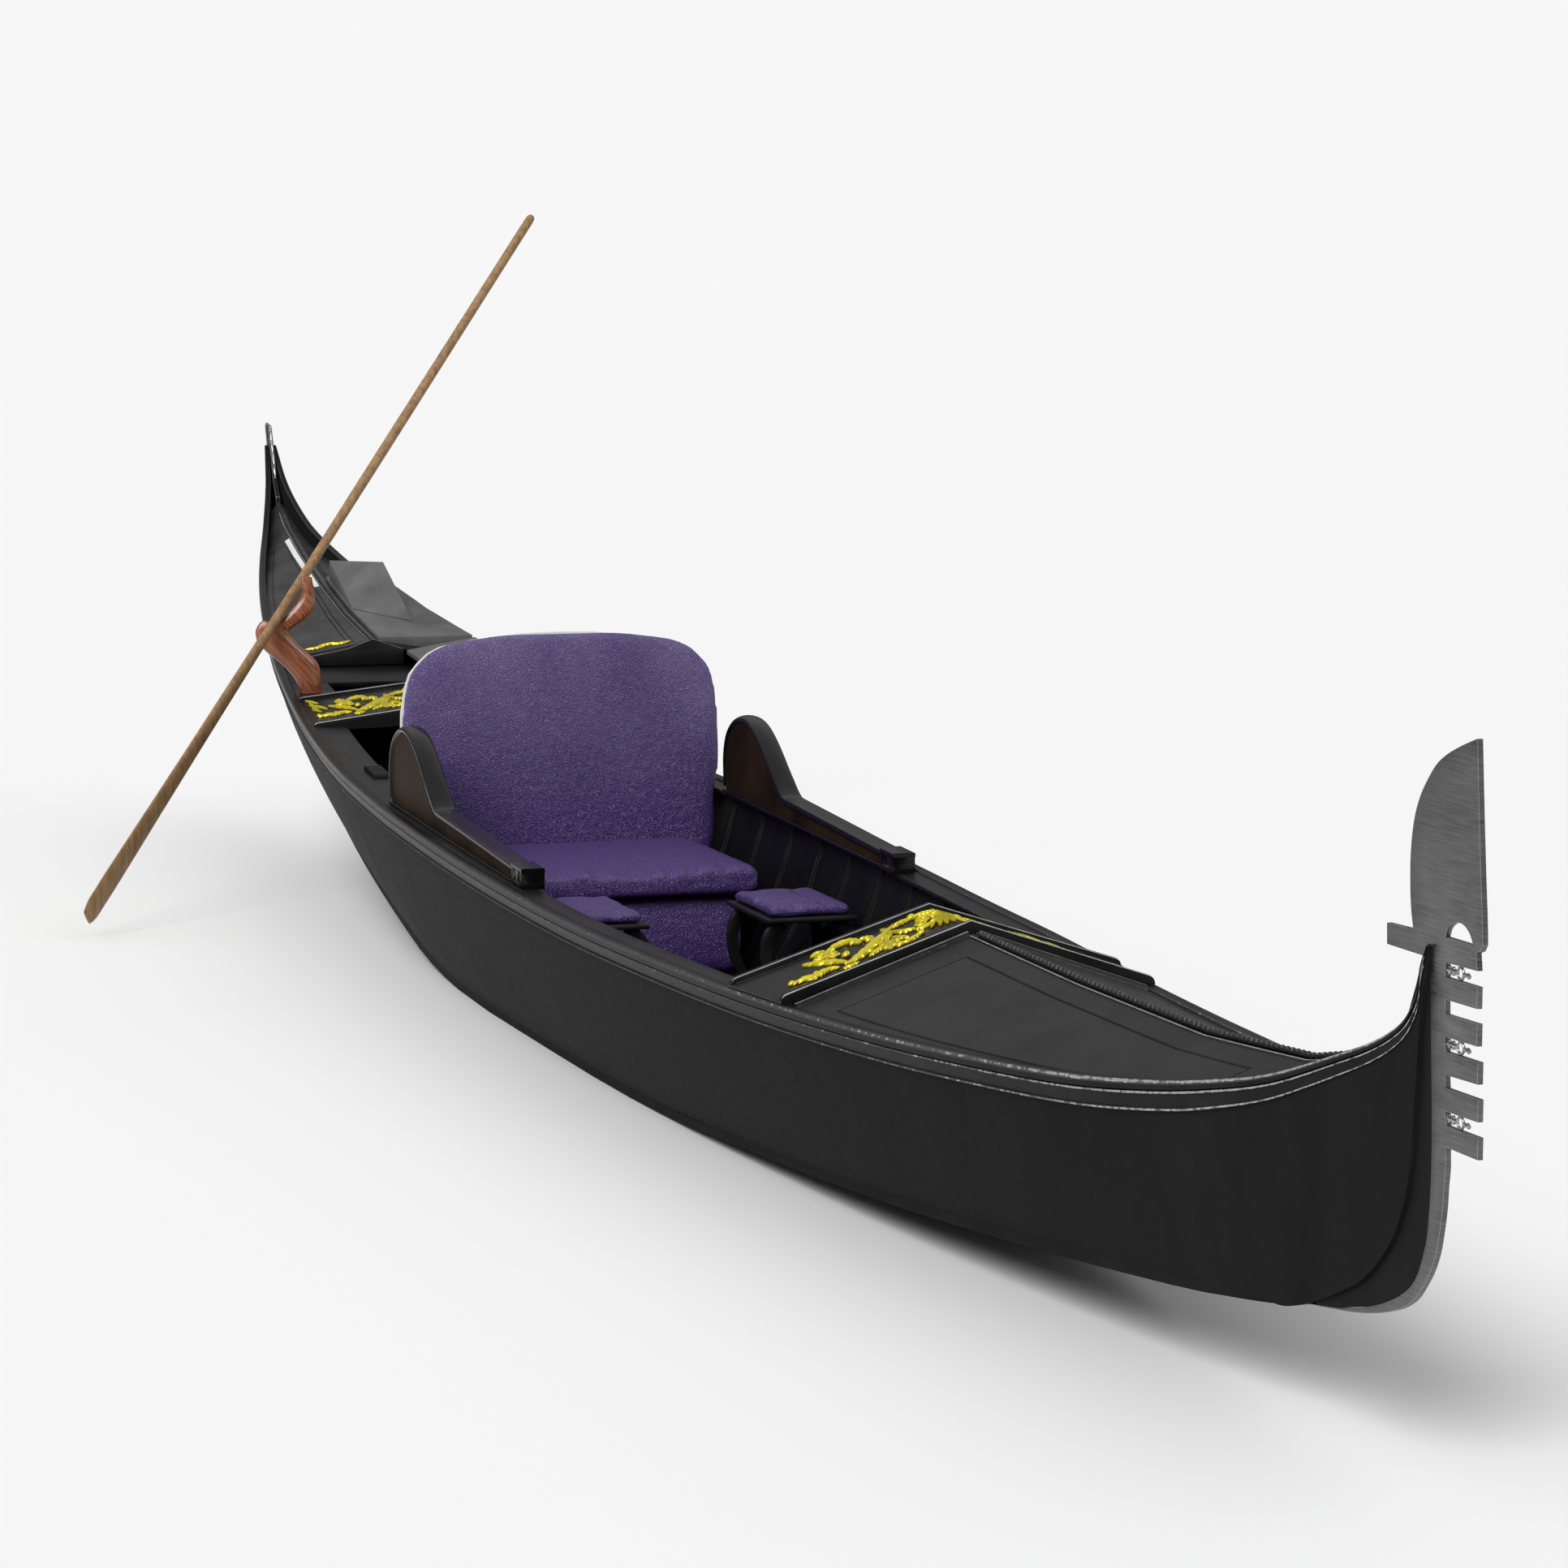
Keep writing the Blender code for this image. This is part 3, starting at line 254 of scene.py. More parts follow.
PEBBLES, given, result = new_group("pebbles", {"Size": 260.0, "Stretch": EVEN}, ["Height", "Tone"])
wander = node(PEBBLES, "TexNoise", {"Vector": object_place(PEBBLES), "Scale": 35.0, "Detail": 2.0})
pulled = node(PEBBLES, "Mapping", {"Vector": object_place(PEBBLES), "Scale": given["Stretch"],
                                   "Rotation": (0.5, 0.4, 0.0)})
shift = node(PEBBLES, "VectorMath", {0: wander.outputs["Color"], 1: (0.02, 0.02, 0.02)},
             operation="MULTIPLY")
moved = node(PEBBLES, "VectorMath", {0: pulled.outputs[0], 1: shift.outputs[0]}, operation="ADD")
cells = node(PEBBLES, "TexVoronoi", {"Vector": moved.outputs[0], "Scale": given["Size"]},
             feature="DISTANCE_TO_EDGE")
tone = node(PEBBLES, "TexNoise", {"Vector": object_place(PEBBLES), "Scale": 90.0, "Detail": 3.0})
fill(PEBBLES, result, {"Height": ramp(PEBBLES, cells.outputs["Distance"], 0.0, 0.32),
                       "Tone": tone.outputs[0]})

GRAIN, given, result = new_group(
    "grain", {"Turn": (0.0, 0.0, 0.0), "Stretch": (1.0, 12.0, 12.0), "Size": 6.0}, ["Tone", "Pores"])
turned = node(GRAIN, "Mapping", {"Vector": object_place(GRAIN), "Rotation": given["Turn"]})
pulled = node(GRAIN, "Mapping", {"Vector": turned.outputs[0], "Scale": given["Stretch"]})
figure = node(GRAIN, "TexNoise", {"Vector": pulled.outputs[0], "Scale": given["Size"], "Detail": 8.0,
                                  "Roughness": 0.62, "Distortion": 0.6})
pores = node(GRAIN, "TexNoise", {"Vector": pulled.outputs[0], "Detail": 4.0,
                                 "Scale": maths(GRAIN, "MULTIPLY", given["Size"], 6.0)})
fill(GRAIN, result, {"Tone": ramp(GRAIN, figure.outputs[0], 0.32, 0.68), "Pores": pores.outputs[0]})
print("effects", len(bpy.data.node_groups))

# %% [markdown]
# ## Finishes
#
# Nearly all of the boat is black paint over wood, so one function makes each kind of paint from its
# colour, how dusty it is and how much its rubbed edges shine. The gloss comes from roughness that
# changes a little over the surface, since brushed paint never has one even shine.

# %% Paint, metal, leather and timber
SILVER = (0.62, 0.62, 0.62)
# Grey of paint worn thin along edges, which also stands as a painted highlight there.
PRIMER_AND_HIGHLIGHT = (0.16, 0.16, 0.16)
# A painted sheen: the upper backrest is mixed towards this pale purple, as light reflected there would show.
PAINTED_SHEEN = (0.250, 0.195, 0.380)
SHEEN_HEIGHTS = (0.50, 1.06)    # heights between which a painted sheen lightens the leather
SHEEN_AT_MOST = 0.42         # and how much at most


def blend_colour(tree, mask, one, two):
    """A colour between two, by a mask from 0 to 1. Each is three numbers or another node's output."""
    one, two = ((*end, 1.0) if isinstance(end, tuple) else end for end in (one, two))
    return node(tree, "Mix", {0: mask, 6: one, 7: two}, data_type="RGBA").outputs[2]


def mottled(tree, size, low, high, stretch=EVEN):
    """A mask of mottling at this finish's size."""
    return use(tree, MOTTLE, {"Size": size, "Stretch": stretch, "Low": low, "High": high})[0]


def relief(tree, height, strength, distance=0.0006):
    """Raised and sunk places, as a direction for the shader's normal."""
    return node(tree, "Bump", {"Height": height, "Strength": strength, "Distance": distance}).outputs[0]


def paint(name, colour, dusty, roughness, cover=0.55, stretch=EVEN, brush=0.12, shine=0.22, patch=26.0,
          broken=0.55, thin=0.0):
    """Brushed paint: dust mottles its colour, fine streaks change its gloss. Edges are rubbed to bare metal
    in patches, and where thin is set they turn grey: worn paint and a painted highlight both."""
    look, tree, shader = start(name)
    dust = mottled(tree, 5.0, 0.35, 0.75, stretch)
    fine = mottled(tree, 140.0, 0.3, 0.7, stretch)
    bare = use(tree, RUBBED, {"Size": patch, "Cover": cover, "Break": broken})[0]
    # Where thin is set, the edges turn grey: worn paint and a painted highlight both.
    grey = maths(tree, "MULTIPLY", wear_and_shade_of(tree), thin, use_clamp=True)
    painted = blend_colour(tree, grey, blend_colour(tree, dust, colour, dusty), PRIMER_AND_HIGHLIGHT)
    streaks = level(tree, fine, roughness - 0.06, roughness + 0.08)
    fill(tree, shader, {"Base Color": blend_colour(tree, bare, painted, SILVER),
                        "Metallic": level(tree, bare, 0.0, 0.75),
                        "Roughness": maths(tree, "ADD", streaks, level(tree, dust, 0.0, 0.06)),
                        "Specular IOR Level": shine, "Normal": relief(tree, fine, brush)})
    return look


def metal(name, dark, light, roughness, stretch, size, brush):
    """Bare metal whose colour and gloss change along its brush marks or tool marks."""
    look, tree, shader = start(name)
    marks = mottled(tree, size, 0.3, 0.7, stretch)
    part = maths(tree, "MULTIPLY", mottled(tree, 9.0, 0.35, 0.7), 0.3)
    plain = blend_colour(tree, maths(tree, "MULTIPLY_ADD", marks, 0.7, part), dark, light)
    bright = tuple(min(1.0, 2.2 * value) for value in light)
    rubbed = use(tree, RUBBED, {"Size": 40.0, "Cover": 0.35, "Break": 0.5})[0]
    fill(tree, shader, {"Base Color": blend_colour(tree, rubbed, plain, bright), "Metallic": 1.0,
                        "Roughness": level(tree, marks, roughness - 0.05, roughness + 0.08),
                        "Normal": relief(tree, marks, brush)})
    return look


def gilding(name, hollow, crown, roughness):
    """Gilded carving: the value called wear, the height of a point, is painted shade: hollows and undersides
    dark.
    """
    look, tree, shader = start(name)
    marks = mottled(tree, 60.0, 0.3, 0.7)
    shade = ramp(tree, wear_and_shade_of(tree), 0.05, 0.75, interpolation_type="SMOOTHSTEP")
    fill(tree, shader, {"Base Color": blend_colour(tree, shade, hollow, crown), "Metallic": 0.55,
                        "Roughness": level(tree, marks, roughness - 0.04, roughness + 0.10),
                        "Normal": relief(tree, marks, 0.25)})
    return look


def leather(name, dark, light, size):
    """Pebbled leather: raised cells with painted shade darkening the creases between them, a cloudy tone,
    and a painted sheen high up that lightens the top of the backrest as reflected light would."""
    look, tree, shader = start(name)
    cells = use(tree, PEBBLES, {"Size": size, "Stretch": (1.0, 1.3, 0.8)})
    # Painted shade: the creases between the cells are darker than their crowns.
    shaded_pebbles = blend_colour(tree, maths(tree, "MULTIPLY", cells["Height"], cells["Tone"]), dark, light)
    height = node(tree, "SeparateXYZ", {0: object_place(tree)}).outputs["Z"]
    # Painted sheen: the higher a point, the more it is mixed towards the pale purple.
    sheen_by_height = ramp(tree, height, *SHEEN_HEIGHTS, 0.0, SHEEN_AT_MOST)
    sheen_mask = maths(tree, "MULTIPLY", sheen_by_height, mottled(tree, 3.0, 0.2, 0.6))
    fill(tree, shader, {"Base Color": blend_colour(tree, sheen_mask, shaded_pebbles, PAINTED_SHEEN),
                        "Roughness": level(tree, cells["Tone"], 0.32, 0.50), "Sheen Weight": 0.02,
                        "Sheen Roughness": 0.5, "Normal": relief(tree, cells["Height"], 0.7, 0.0022)})
    return look


def timber(name, dark, light, roughness, turn, stretch, varnish):
    """Oiled or varnished wood: long figure, fine pores, a thin clear coat."""
    look, tree, shader = start(name)
    figure = use(tree, GRAIN, {"Turn": turn, "Stretch": stretch, "Size": 5.0})
    fill(tree, shader, {"Base Color": blend_colour(tree, figure["Tone"], dark, light),
                        "Roughness": level(tree, figure["Pores"], roughness - 0.08, roughness + 0.14),
                        "Coat Weight": varnish, "Coat Roughness": 0.18,
                        "Normal": relief(tree, figure["Pores"], 0.16, 0.0008)})
    return look


HULL_PAINT = paint("hull_paint", (0.0115, 0.0115, 0.012), (0.0175, 0.0175, 0.018), 0.46,
                   stretch=(1.0, 1.0, 0.25), shine=0.015, brush=0.05)
DECK_PAINT = paint("deck_paint", (0.020, 0.020, 0.0205), (0.032, 0.032, 0.033), 0.46, cover=0.62, shine=0.10)
STERN_PAINT = paint("stern_deck_paint", (0.020, 0.020, 0.021), (0.055, 0.055, 0.056), 0.40, cover=0.50,
                    shine=0.14)
TRIM_PAINT = paint("trim_paint", (0.005, 0.005, 0.0055), (0.015, 0.015, 0.0155), 0.34, cover=0.50, shine=0.16)
BOARD_PAINT = paint("lining_paint", (0.0025, 0.0025, 0.0028), (0.006, 0.006, 0.0065), 0.42, cover=0.66,
                    shine=0.12)
# The rail's edges and beads get a thin grey line, a painted highlight as well as worn paint.
RAIL_PAINT = paint("rail_paint", (0.005, 0.005, 0.0055), (0.018, 0.018, 0.018), 0.30, cover=0.76, shine=0.08,
                   patch=62.0, broken=2.4, thin=0.55)
BROWN_PANEL = paint("brown_panel", (0.012, 0.008, 0.005), (0.042, 0.023, 0.012), 0.42, cover=0.9, shine=0.015)
ARM_PAINT = paint("armrest_paint", (0.003, 0.003, 0.0033), (0.006, 0.006, 0.0063), 0.17, cover=0.60,
                  shine=0.22, brush=0.006)
BOW_STEEL = metal("bow_steel", (0.075, 0.075, 0.076), (0.25, 0.25, 0.25), 0.42, (1.0, 1.0, 34.0), 9.0, 0.25)
BRIGHT = metal("bright_metal", (0.14, 0.14, 0.145), (0.55, 0.55, 0.56), 0.20, (1.0, 1.0, 1.0), 60.0, 0.35)
# The first colour is painted shade for the hollows and undersides, the second the lit gold.
GILT = gilding("gilding", (0.070, 0.046, 0.001), (0.64, 0.54, 0.022), 0.25)
PURPLE = leather("purple_leather", (0.030, 0.013, 0.088), (0.150, 0.074, 0.385), 150.0)
PALE = paint("pale_edge", (0.74, 0.74, 0.72), (0.60, 0.60, 0.58), 0.40, cover=0.95, brush=0.04, shine=0.5)
WALNUT = timber("rowlock_walnut", (0.060, 0.015, 0.007), (0.44, 0.140, 0.056), 0.26, (-0.7, 0.0, 0.0),
                (26.0, 26.0, 1.6), 0.35)
OAR_WOOD = timber("oar_wood", (0.165, 0.090, 0.036), (0.39, 0.228, 0.102), 0.50, (0.0, 0.0, 0.0),
                  (10.0, 10.0, 2.0), 0.0)
COVERING = paint("grey_covering", (0.085, 0.085, 0.086), (0.150, 0.150, 0.150), 0.78, cover=0.95, brush=0.6)
print("finishes", len(bpy.data.materials))

# %% [markdown]
# ## Surfaces from grids
#
# Every new piece is one or more closed shells, each worked out as a grid of points. Two ways of
# closing a grid are enough: a bar through rings of points, and a plate between two grids. A point may
# carry a fourth number, from 0 to 1, that says how far its edge is rubbed bare; on the gilt carving the
# same number is painted shade, dark in hollows and on undersides.

# %% Turn grids of points into closed shells
def through(table, steps, by=None):
    """A smooth curve through a table's rows. Its slope at a row is the mean of the slopes before and
    after it, each weighted by the other's length, so that rows may lie unevenly. The first columns,
    as many as by says, measure the length."""
    rows = np.asarray(table, float)
    span = np.linalg.norm(np.diff(rows[:, :by], axis=0), axis=1)[:, None]
    slope = np.diff(rows, axis=0) / span
    inner = (slope[:-1] * span[1:] + slope[1:] * span[:-1]) / (span[1:] + span[:-1])
    turn = np.concatenate([slope[:1], inner, slope[-1:]])
    t = (np.arange(steps) / steps)[None, :, None]
    here, there = rows[:-1, None], rows[1:, None]
    leave, meet = (turn[:-1] * span)[:, None], (turn[1:] * span)[:, None]
    made = (here + leave * t + (3 * (there - here) - 2 * leave - meet) * t ** 2
            + (2 * (here - there) + leave + meet) * t ** 3)
    return np.concatenate([made.reshape(-1, rows.shape[1]), rows[-1:]])


def grid(*columns):
    """Points from their columns. Each is one value, a row, a column or a whole grid, spread to one size."""
    return np.stack(np.broadcast_arrays(*columns), -1)


def full_turn(count):
    """So many angles, evenly spread over a full turn."""
    return np.linspace(0, 2 * np.pi, count + 1)[:-1]


def heading(path):
    """Unit directions along a flat path, and the same turned a quarter to the left."""
    along = np.gradient(path, axis=0)
    along /= np.linalg.norm(along, axis=1)[:, None]
    return along, np.stack([-along[:, 1], along[:, 0]], 1)


def quads(rows, cols, closed=False):
    """Four-sided faces of a grid: each joins a point with its neighbours in the next row and column."""
    index = np.arange(rows * cols).reshape(rows, cols)
    if closed:
        index = np.concatenate([index, index[:, :1]], 1)
    return np.stack([index[:-1, :-1], index[:-1, 1:], index[1:, 1:], index[1:, :-1]], -1).reshape(-1, 4)


def bar(rings):
    """A bar through rings of points, one after another, with a flat face at each end."""
    rings = np.asarray(rings, float)
    rows, cols = rings.shape[:2]
    last = (rows - 1) * cols
    ends = [list(range(cols))[::-1], list(range(last, last + cols))]
    return rings.reshape(rows * cols, -1), quads(rows, cols, True).tolist() + ends


def plate(upper, lower):
    """A plate between two grids of the same size, closed by a strip round their rims."""
    upper, lower = np.asarray(upper, float), np.asarray(lower, float)
    rows, cols = upper.shape[:2]
    base = rows * cols
    index = np.arange(base).reshape(rows, cols)
    rim = np.concatenate([index[0, :-1], index[:-1, -1], index[-1, :0:-1], index[:0:-1, 0]])
    strip = np.stack([rim, np.roll(rim, -1), np.roll(rim, -1) + base, rim + base], 1)
    top = quads(rows, cols)
    faces = np.concatenate([top, top[:, ::-1] + base, strip]).tolist()
    return np.concatenate([upper.reshape(base, -1), lower.reshape(base, -1)]), faces


CREASE = 35.0           # an edge that turns by more degrees than this stays sharp where nothing else is said


def declare(item, look, stands_for, body="boat"):
    """Give a piece its finish, let it ride on a body and stand for its solids."""
    item.data.materials.clear()
    item.data.materials.append(look)
    item.data.shade_smooth()
    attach(item, body)
    if stands_for:
        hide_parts(*stands_for)


def show(name, mesh, look, stands_for, body="boat", sharp=CREASE):
    """Make a piece of a finished mesh, smooth but for the edges that turn by more than sharp degrees."""
    declare(placed(name, mesh), look, stands_for, body)
    mesh.set_sharp_from_angle(angle=math.radians(sharp))


def reworked(mesh, change, near=1e-5):
    """Merge a mesh's doubled points, let a function change it further, and write it back."""
    work = bmesh.new()
    work.from_mesh(mesh)
    bmesh.ops.remove_doubles(work, verts=work.verts, dist=near)
    change(work)
    work.to_mesh(mesh)
    work.free()


def face_outwards(work):
    bmesh.ops.recalc_face_normals(work, faces=work.faces)


def shells_mesh(name, shells):
    """One mesh of several closed shells, its doubled points merged and its faces turned outwards."""
    points, faces, base = [], [], 0
    for part, part_faces in shells:
        part = np.asarray(part, float)
        if part.shape[1] == 3:
            part = np.pad(part, ((0, 0), (0, 1)))
        points.append(part)
        faces += [[corner + base for corner in face] for face in part_faces]
        base += len(part)
    points = np.concatenate(points)
    mesh = bpy.data.meshes.new(name)
    mesh.from_pydata(points[:, :3].tolist(), [], faces)
    mesh.attributes.new("wear", "FLOAT", "POINT").data.foreach_set("value", points[:, 3].astype(np.float32))
    reworked(mesh, face_outwards, 1e-6)
    return mesh


def piece(name, shells, look, stands_for=(), body="boat", sharp=CREASE):
    """A piece of closed shells."""
    show(name, shells_mesh(name, shells), look, stands_for, body, sharp)


def sided(points, side):
    """The port shape as it is, or mirrored in the centre plane for starboard."""
    points = np.array(points, float)
    if side == "starboard":
        points[..., 1] *= -1
    return points


SIDES = ("starboard", "port")


def side_piece(side, name, shells, look, solid="", sharp=CREASE):
    """One side's piece, from the port side's shells, which stands for the solid of the same side."""
    piece(f"{name}_{side}", [(sided(points, side), faces) for points, faces in shells], look,
          (f"{solid}_{side}",) if solid else (), sharp=sharp)


# %% [markdown]
# Boards, beams and plates already have the right shape in the solid model, but a real board has
# eased edges that catch a line of light, and old paint is rubbed there first. A copy of the solid's
# mesh gets a small two-step bevel. The points in the middle of the bevel carry the wear.

# %% Ease the edges of a solid
CORNER = math.radians(25)       # an edge that turns by more than this is a corner
FLAT = math.radians(0.5)        # faces that turn by less are one face


def eased(node_name, look, width, rub=1.0):
    """A copy of a solid with its corners bevelled. The solid's loose triangles are merged first."""
    mesh = NODES[node_name].data.copy()
    mesh.name = node_name + "_eased"

    def ease(work):
        bmesh.ops.dissolve_limit(work, angle_limit=FLAT, verts=work.verts, edges=work.edges)
        corners = [edge for edge in work.edges if edge.is_manifold and edge.calc_face_angle() > CORNER]
        made = bmesh.ops.bevel(work, geom=corners, offset=width, offset_type="OFFSET", segments=2,
                               profile=0.5, affect="EDGES", clamp_overlap=True)
        on_bevel = set(made["faces"])
        wear = work.verts.layers.float.new("wear")
        for point in work.verts:
            point[wear] = rub * all(face in on_bevel for face in point.link_faces)

    reworked(mesh, ease)
    show(mesh.name, mesh, look, (node_name,))
    return mesh


def coat(node_name, look):
    """A solid whose shape is right keeps it and only gets its finish."""
    item = NODES[node_name]
    if not item.material_slots:
        item.data.materials.append(look)
    for holder in item.material_slots:
        holder.material = look


print("helpers ready")

# %% [markdown]
# ## Hull sides
#
# A gondola's side is one long sheet of planking that fans out at the bow and climbs the stern post.
# Each section is a gentle curve between two points, the rail's seat and the bottom's edge, so the
# whole side is a grid: along the boat on one parameter, up the side on the other. The rows below are
# the boat's own lines, the same as in the solids, carried on a smooth curve with many more sections
# so that long reflections run without a kink.

# %% The lines of the hull
# Columns: sheer x, half beam, height; the side's lower edge x, half width, height; swell x, y, z.
LINES = [
    (-5.410, 0.024, 1.530, -5.020, 0.0215, 0.640, -0.070, 0.000, -0.120),
    (-5.290, 0.046, 1.380, -4.960, 0.030, 0.600, -0.040, 0.006, -0.060),
    (-5.120, 0.090, 1.240, -4.900, 0.042, 0.575, -0.010, 0.010, -0.020),
    (-4.800, 0.172, 1.100, -4.760, 0.064, 0.548, 0.000, 0.016, 0.000),
    (-4.290, 0.276, 0.975, -4.290, 0.120, 0.482, 0.000, 0.022, 0.000),
    (-3.680, 0.365, 0.838, -3.680, 0.202, 0.398, 0.000, 0.026, 0.000),
    (-2.970, 0.447, 0.728, -2.970, 0.274, 0.297, 0.000, 0.028, 0.000),
    (-2.170, 0.528, 0.656, -2.170, 0.334, 0.176, 0.000, 0.030, 0.000),
    (-1.400, 0.595, 0.619, -1.400, 0.374, 0.072, 0.000, 0.030, 0.000),
    (-1.000, 0.6175, 0.606, -1.000, 0.388, 0.026, 0.000, 0.030, 0.000),
    (-0.600, 0.635, 0.594, -0.600, 0.397, 0.004, 0.000, 0.029, 0.000),
    (-0.200, 0.643, 0.582, -0.200, 0.401, 0.000, 0.000, 0.028, 0.000),
    (0.900, 0.634, 0.553, 0.900, 0.381, 0.000, 0.000, 0.028, 0.000),
    (1.500, 0.609, 0.543, 1.500, 0.359, 0.008, 0.000, 0.027, 0.000),
    (2.000, 0.578, 0.543, 2.000, 0.335, 0.028, 0.000, 0.026, 0.000),
    (2.900, 0.488, 0.549, 2.900, 0.270, 0.072, 0.000, 0.022, 0.000),
    (3.700, 0.376, 0.580, 3.700, 0.185, 0.125, 0.000, 0.018, 0.000),
    (4.340, 0.254, 0.630, 4.340, 0.102, 0.178, 0.000, 0.014, 0.000),
    (4.640, 0.178, 0.676, 4.540, 0.072, 0.200, 0.010, 0.012, -0.010),
    (4.834, 0.122, 0.7205, 4.700, 0.046, 0.221, 0.020, 0.009, -0.018),
    (4.949, 0.096, 0.7595, 4.795, 0.025, 0.237, 0.030, 0.006, -0.026),
    (4.972, 0.091, 0.768, 4.831, 0.016, 0.250, 0.032, 0.006, -0.028),
    (5.046, 0.074, 0.796, 4.960, 0.016, 0.302, 0.034, 0.006, -0.030),
    (5.139, 0.053, 0.8325, 5.098, 0.016, 0.378, 0.030, 0.005, -0.026),
    (5.188, 0.041, 0.858, 5.184, 0.016, 0.461, 0.022, 0.004, -0.016),
    (5.240, 0.0305, 0.897, 5.240, 0.016, 0.580, 0.010, 0.003, -0.006),
    (5.2735, 0.0228, 0.957, 5.262, 0.016, 0.740, 0.002, 0.001, 0.000),
    (5.280, 0.0213, 1.003, 5.275, 0.016, 0.900, 0.000, 0.000, 0.000),
    (5.297, 0.018, 1.0455, 5.297, 0.0155, 1.010, 0.000, 0.000, 0.000),
]
# Columns: x, wall thickness, rail height, rail inwards and outwards from the sheer line.
THINNING = np.array([
    (-5.420, 0.0120, 0.0160, 0.0200, 0.0010),
    (-4.800, 0.0160, 0.0200, 0.0240, 0.0020),
    (-3.700, 0.0220, 0.0237, 0.0300, 0.0030),
    (4.300, 0.0220, 0.0237, 0.0300, 0.0030),
    (4.900, 0.0180, 0.0180, 0.0240, 0.0020),
    (5.310, 0.0100, 0.0090, 0.0120, 0.0005),
])
GAP = 0.0003            # air between pieces that touch
BOTTOM_END = 4.800      # fore end of the bottom planks
BOTTOM_PLANK = 0.0243   # the side stands on the bottom planking
SEAT_IN = 0.008         # top of the planking, in from the sheer line
FINE = 6                # sections made between two rows of the table
UP_THE_SIDE = 22        # points up each section
SINKS = (4.42, BOTTOM_END - 0.02)   # where the lower edge goes down past the bottom planks
SINK_OUT = 0.0010       # and stands outside them

rows = through(LINES, FINE, by=3)
SHEER, KEEL, SWELL = rows[:, 0:3], rows[:, 3:6], rows[:, 6:9]
WALL, RAIL_HIGH, RAIL_IN, RAIL_OUT = (np.interp(SHEER[:, 0], THINNING[:, 0], THINNING[:, k])
                                      for k in range(1, 5))
FORWARD = SHEER[:, 0] > 0
POST = np.where(FORWARD, 0.0063, 0.0093)        # how near to the centreline a side may come
POST_TOP = np.where(FORWARD, 0.0155, 0.0205)    # and the top of its planking


def side_grid():
    """Up each section the point is keel(1-t)^2 + 2 middle t(1-t) + seat t^2, the middle pushed out.
    Towards the stem the lower edge sinks past the bottom plank's edge, a millimetre outside it."""
    keel = KEEL.copy()
    sink = np.clip((KEEL[:, 0] - SINKS[0]) / (SINKS[1] - SINKS[0]), 0, 1)
    sink = sink ** 2 * (3 - 2 * sink)
    keel[:, 2] = np.maximum(keel[:, 2], 0.0) + BOTTOM_PLANK * (1 - sink)
    keel[:, 1] += SINK_OUT * sink * (KEEL[:, 0] < BOTTOM_END)
    seat = SHEER.copy()
    seat[:, 2] -= RAIL_HIGH + GAP
    seat[:, 1] = np.maximum(SHEER[:, 1] - SEAT_IN, POST_TOP)
    middle = (seat + keel) / 2 + SWELL * 2
    t = np.linspace(0.0, 1.0, UP_THE_SIDE)[None, :, None]
    return (1 - t) ** 2 * keel[:, None] + 2 * t * (1 - t) * middle[:, None] + t ** 2 * seat[:, None]


OUTSIDE = side_grid()
INSIDE = OUTSIDE.copy()
INSIDE[..., 1] = np.maximum(OUTSIDE[..., 1] - WALL[:, None], POST[:, None])
for side in SIDES:
    side_piece(side, "planking", [plate(OUTSIDE, INSIDE)], HULL_PAINT, "hull_side")
for node_name in ("hull_bottom_aft", "hull_bottom_middle", "hull_bottom_fore", "bow_stem"):
    coat(node_name, HULL_PAINT)
eased("stern_post", TRIM_PAINT, 0.002)
print("planking", OUTSIDE.shape)

# %% [markdown]
# ## Rails and rub bands
#
# The rail is a rounded capping whose edges are rubbed to bare metal leaf, most of all at the bow where
# ropes and hands reach it, and carry a thin grey line, painted highlight as well as worn paint. Under
# it runs a flat band with a bead along each edge. Both are one cross section carried along the sheer,
# with the wear, which also sets the painted highlight, written on the points of the rail's two edges
# and of the beads.

# %% Carry the rail and the band along the sheer
# Columns: across from -1 inside to 1 outside, height from 0 to 1, wear (also the painted edge highlight).
RAIL_SECTION = np.array([
    (-1.00, 0.00, 0.0), (-1.00, 0.50, 0.0), (-0.97, 0.72, 0.5), (-0.88, 0.86, 1.0), (-0.74, 0.94, 0.3),
    (-0.36, 1.00, 0.0), (0.10, 1.00, 0.0), (0.45, 0.99, 0.0), (0.74, 0.95, 0.3), (0.90, 0.85, 0.9),
    (0.97, 0.72, 1.0), (1.00, 0.60, 0.6), (1.00, 0.42, 0.0), (1.00, 0.00, 0.0),
])
# Columns: distance down from the rail, stand-off from the planking, wear (also the painted highlight).
BAND_SECTION = np.array([
    (0.0030, 0.0012, 0.0), (0.0030, 0.0065, 0.2), (0.0036, 0.0090, 0.8), (0.0060, 0.0105, 1.0),
    (0.0086, 0.0090, 0.8), (0.0100, 0.0060, 0.1), (0.0112, 0.0042, 0.0), (0.0250, 0.0038, 0.0),
    (0.0388, 0.0042, 0.0), (0.0400, 0.0060, 0.1), (0.0414, 0.0090, 0.8), (0.0435, 0.0105, 1.0),
    (0.0458, 0.0090, 0.8), (0.0470, 0.0065, 0.1), (0.0470, 0.0012, 0.0),
])
# How rubbed the rail is, and how strong its painted edge highlight. Columns: x, share of the section's wear.
RUBBING = np.array([(-5.4, 0.48), (1.0, 0.54), (3.0, 0.62), (3.8, 0.82), (4.4, 1.04)])

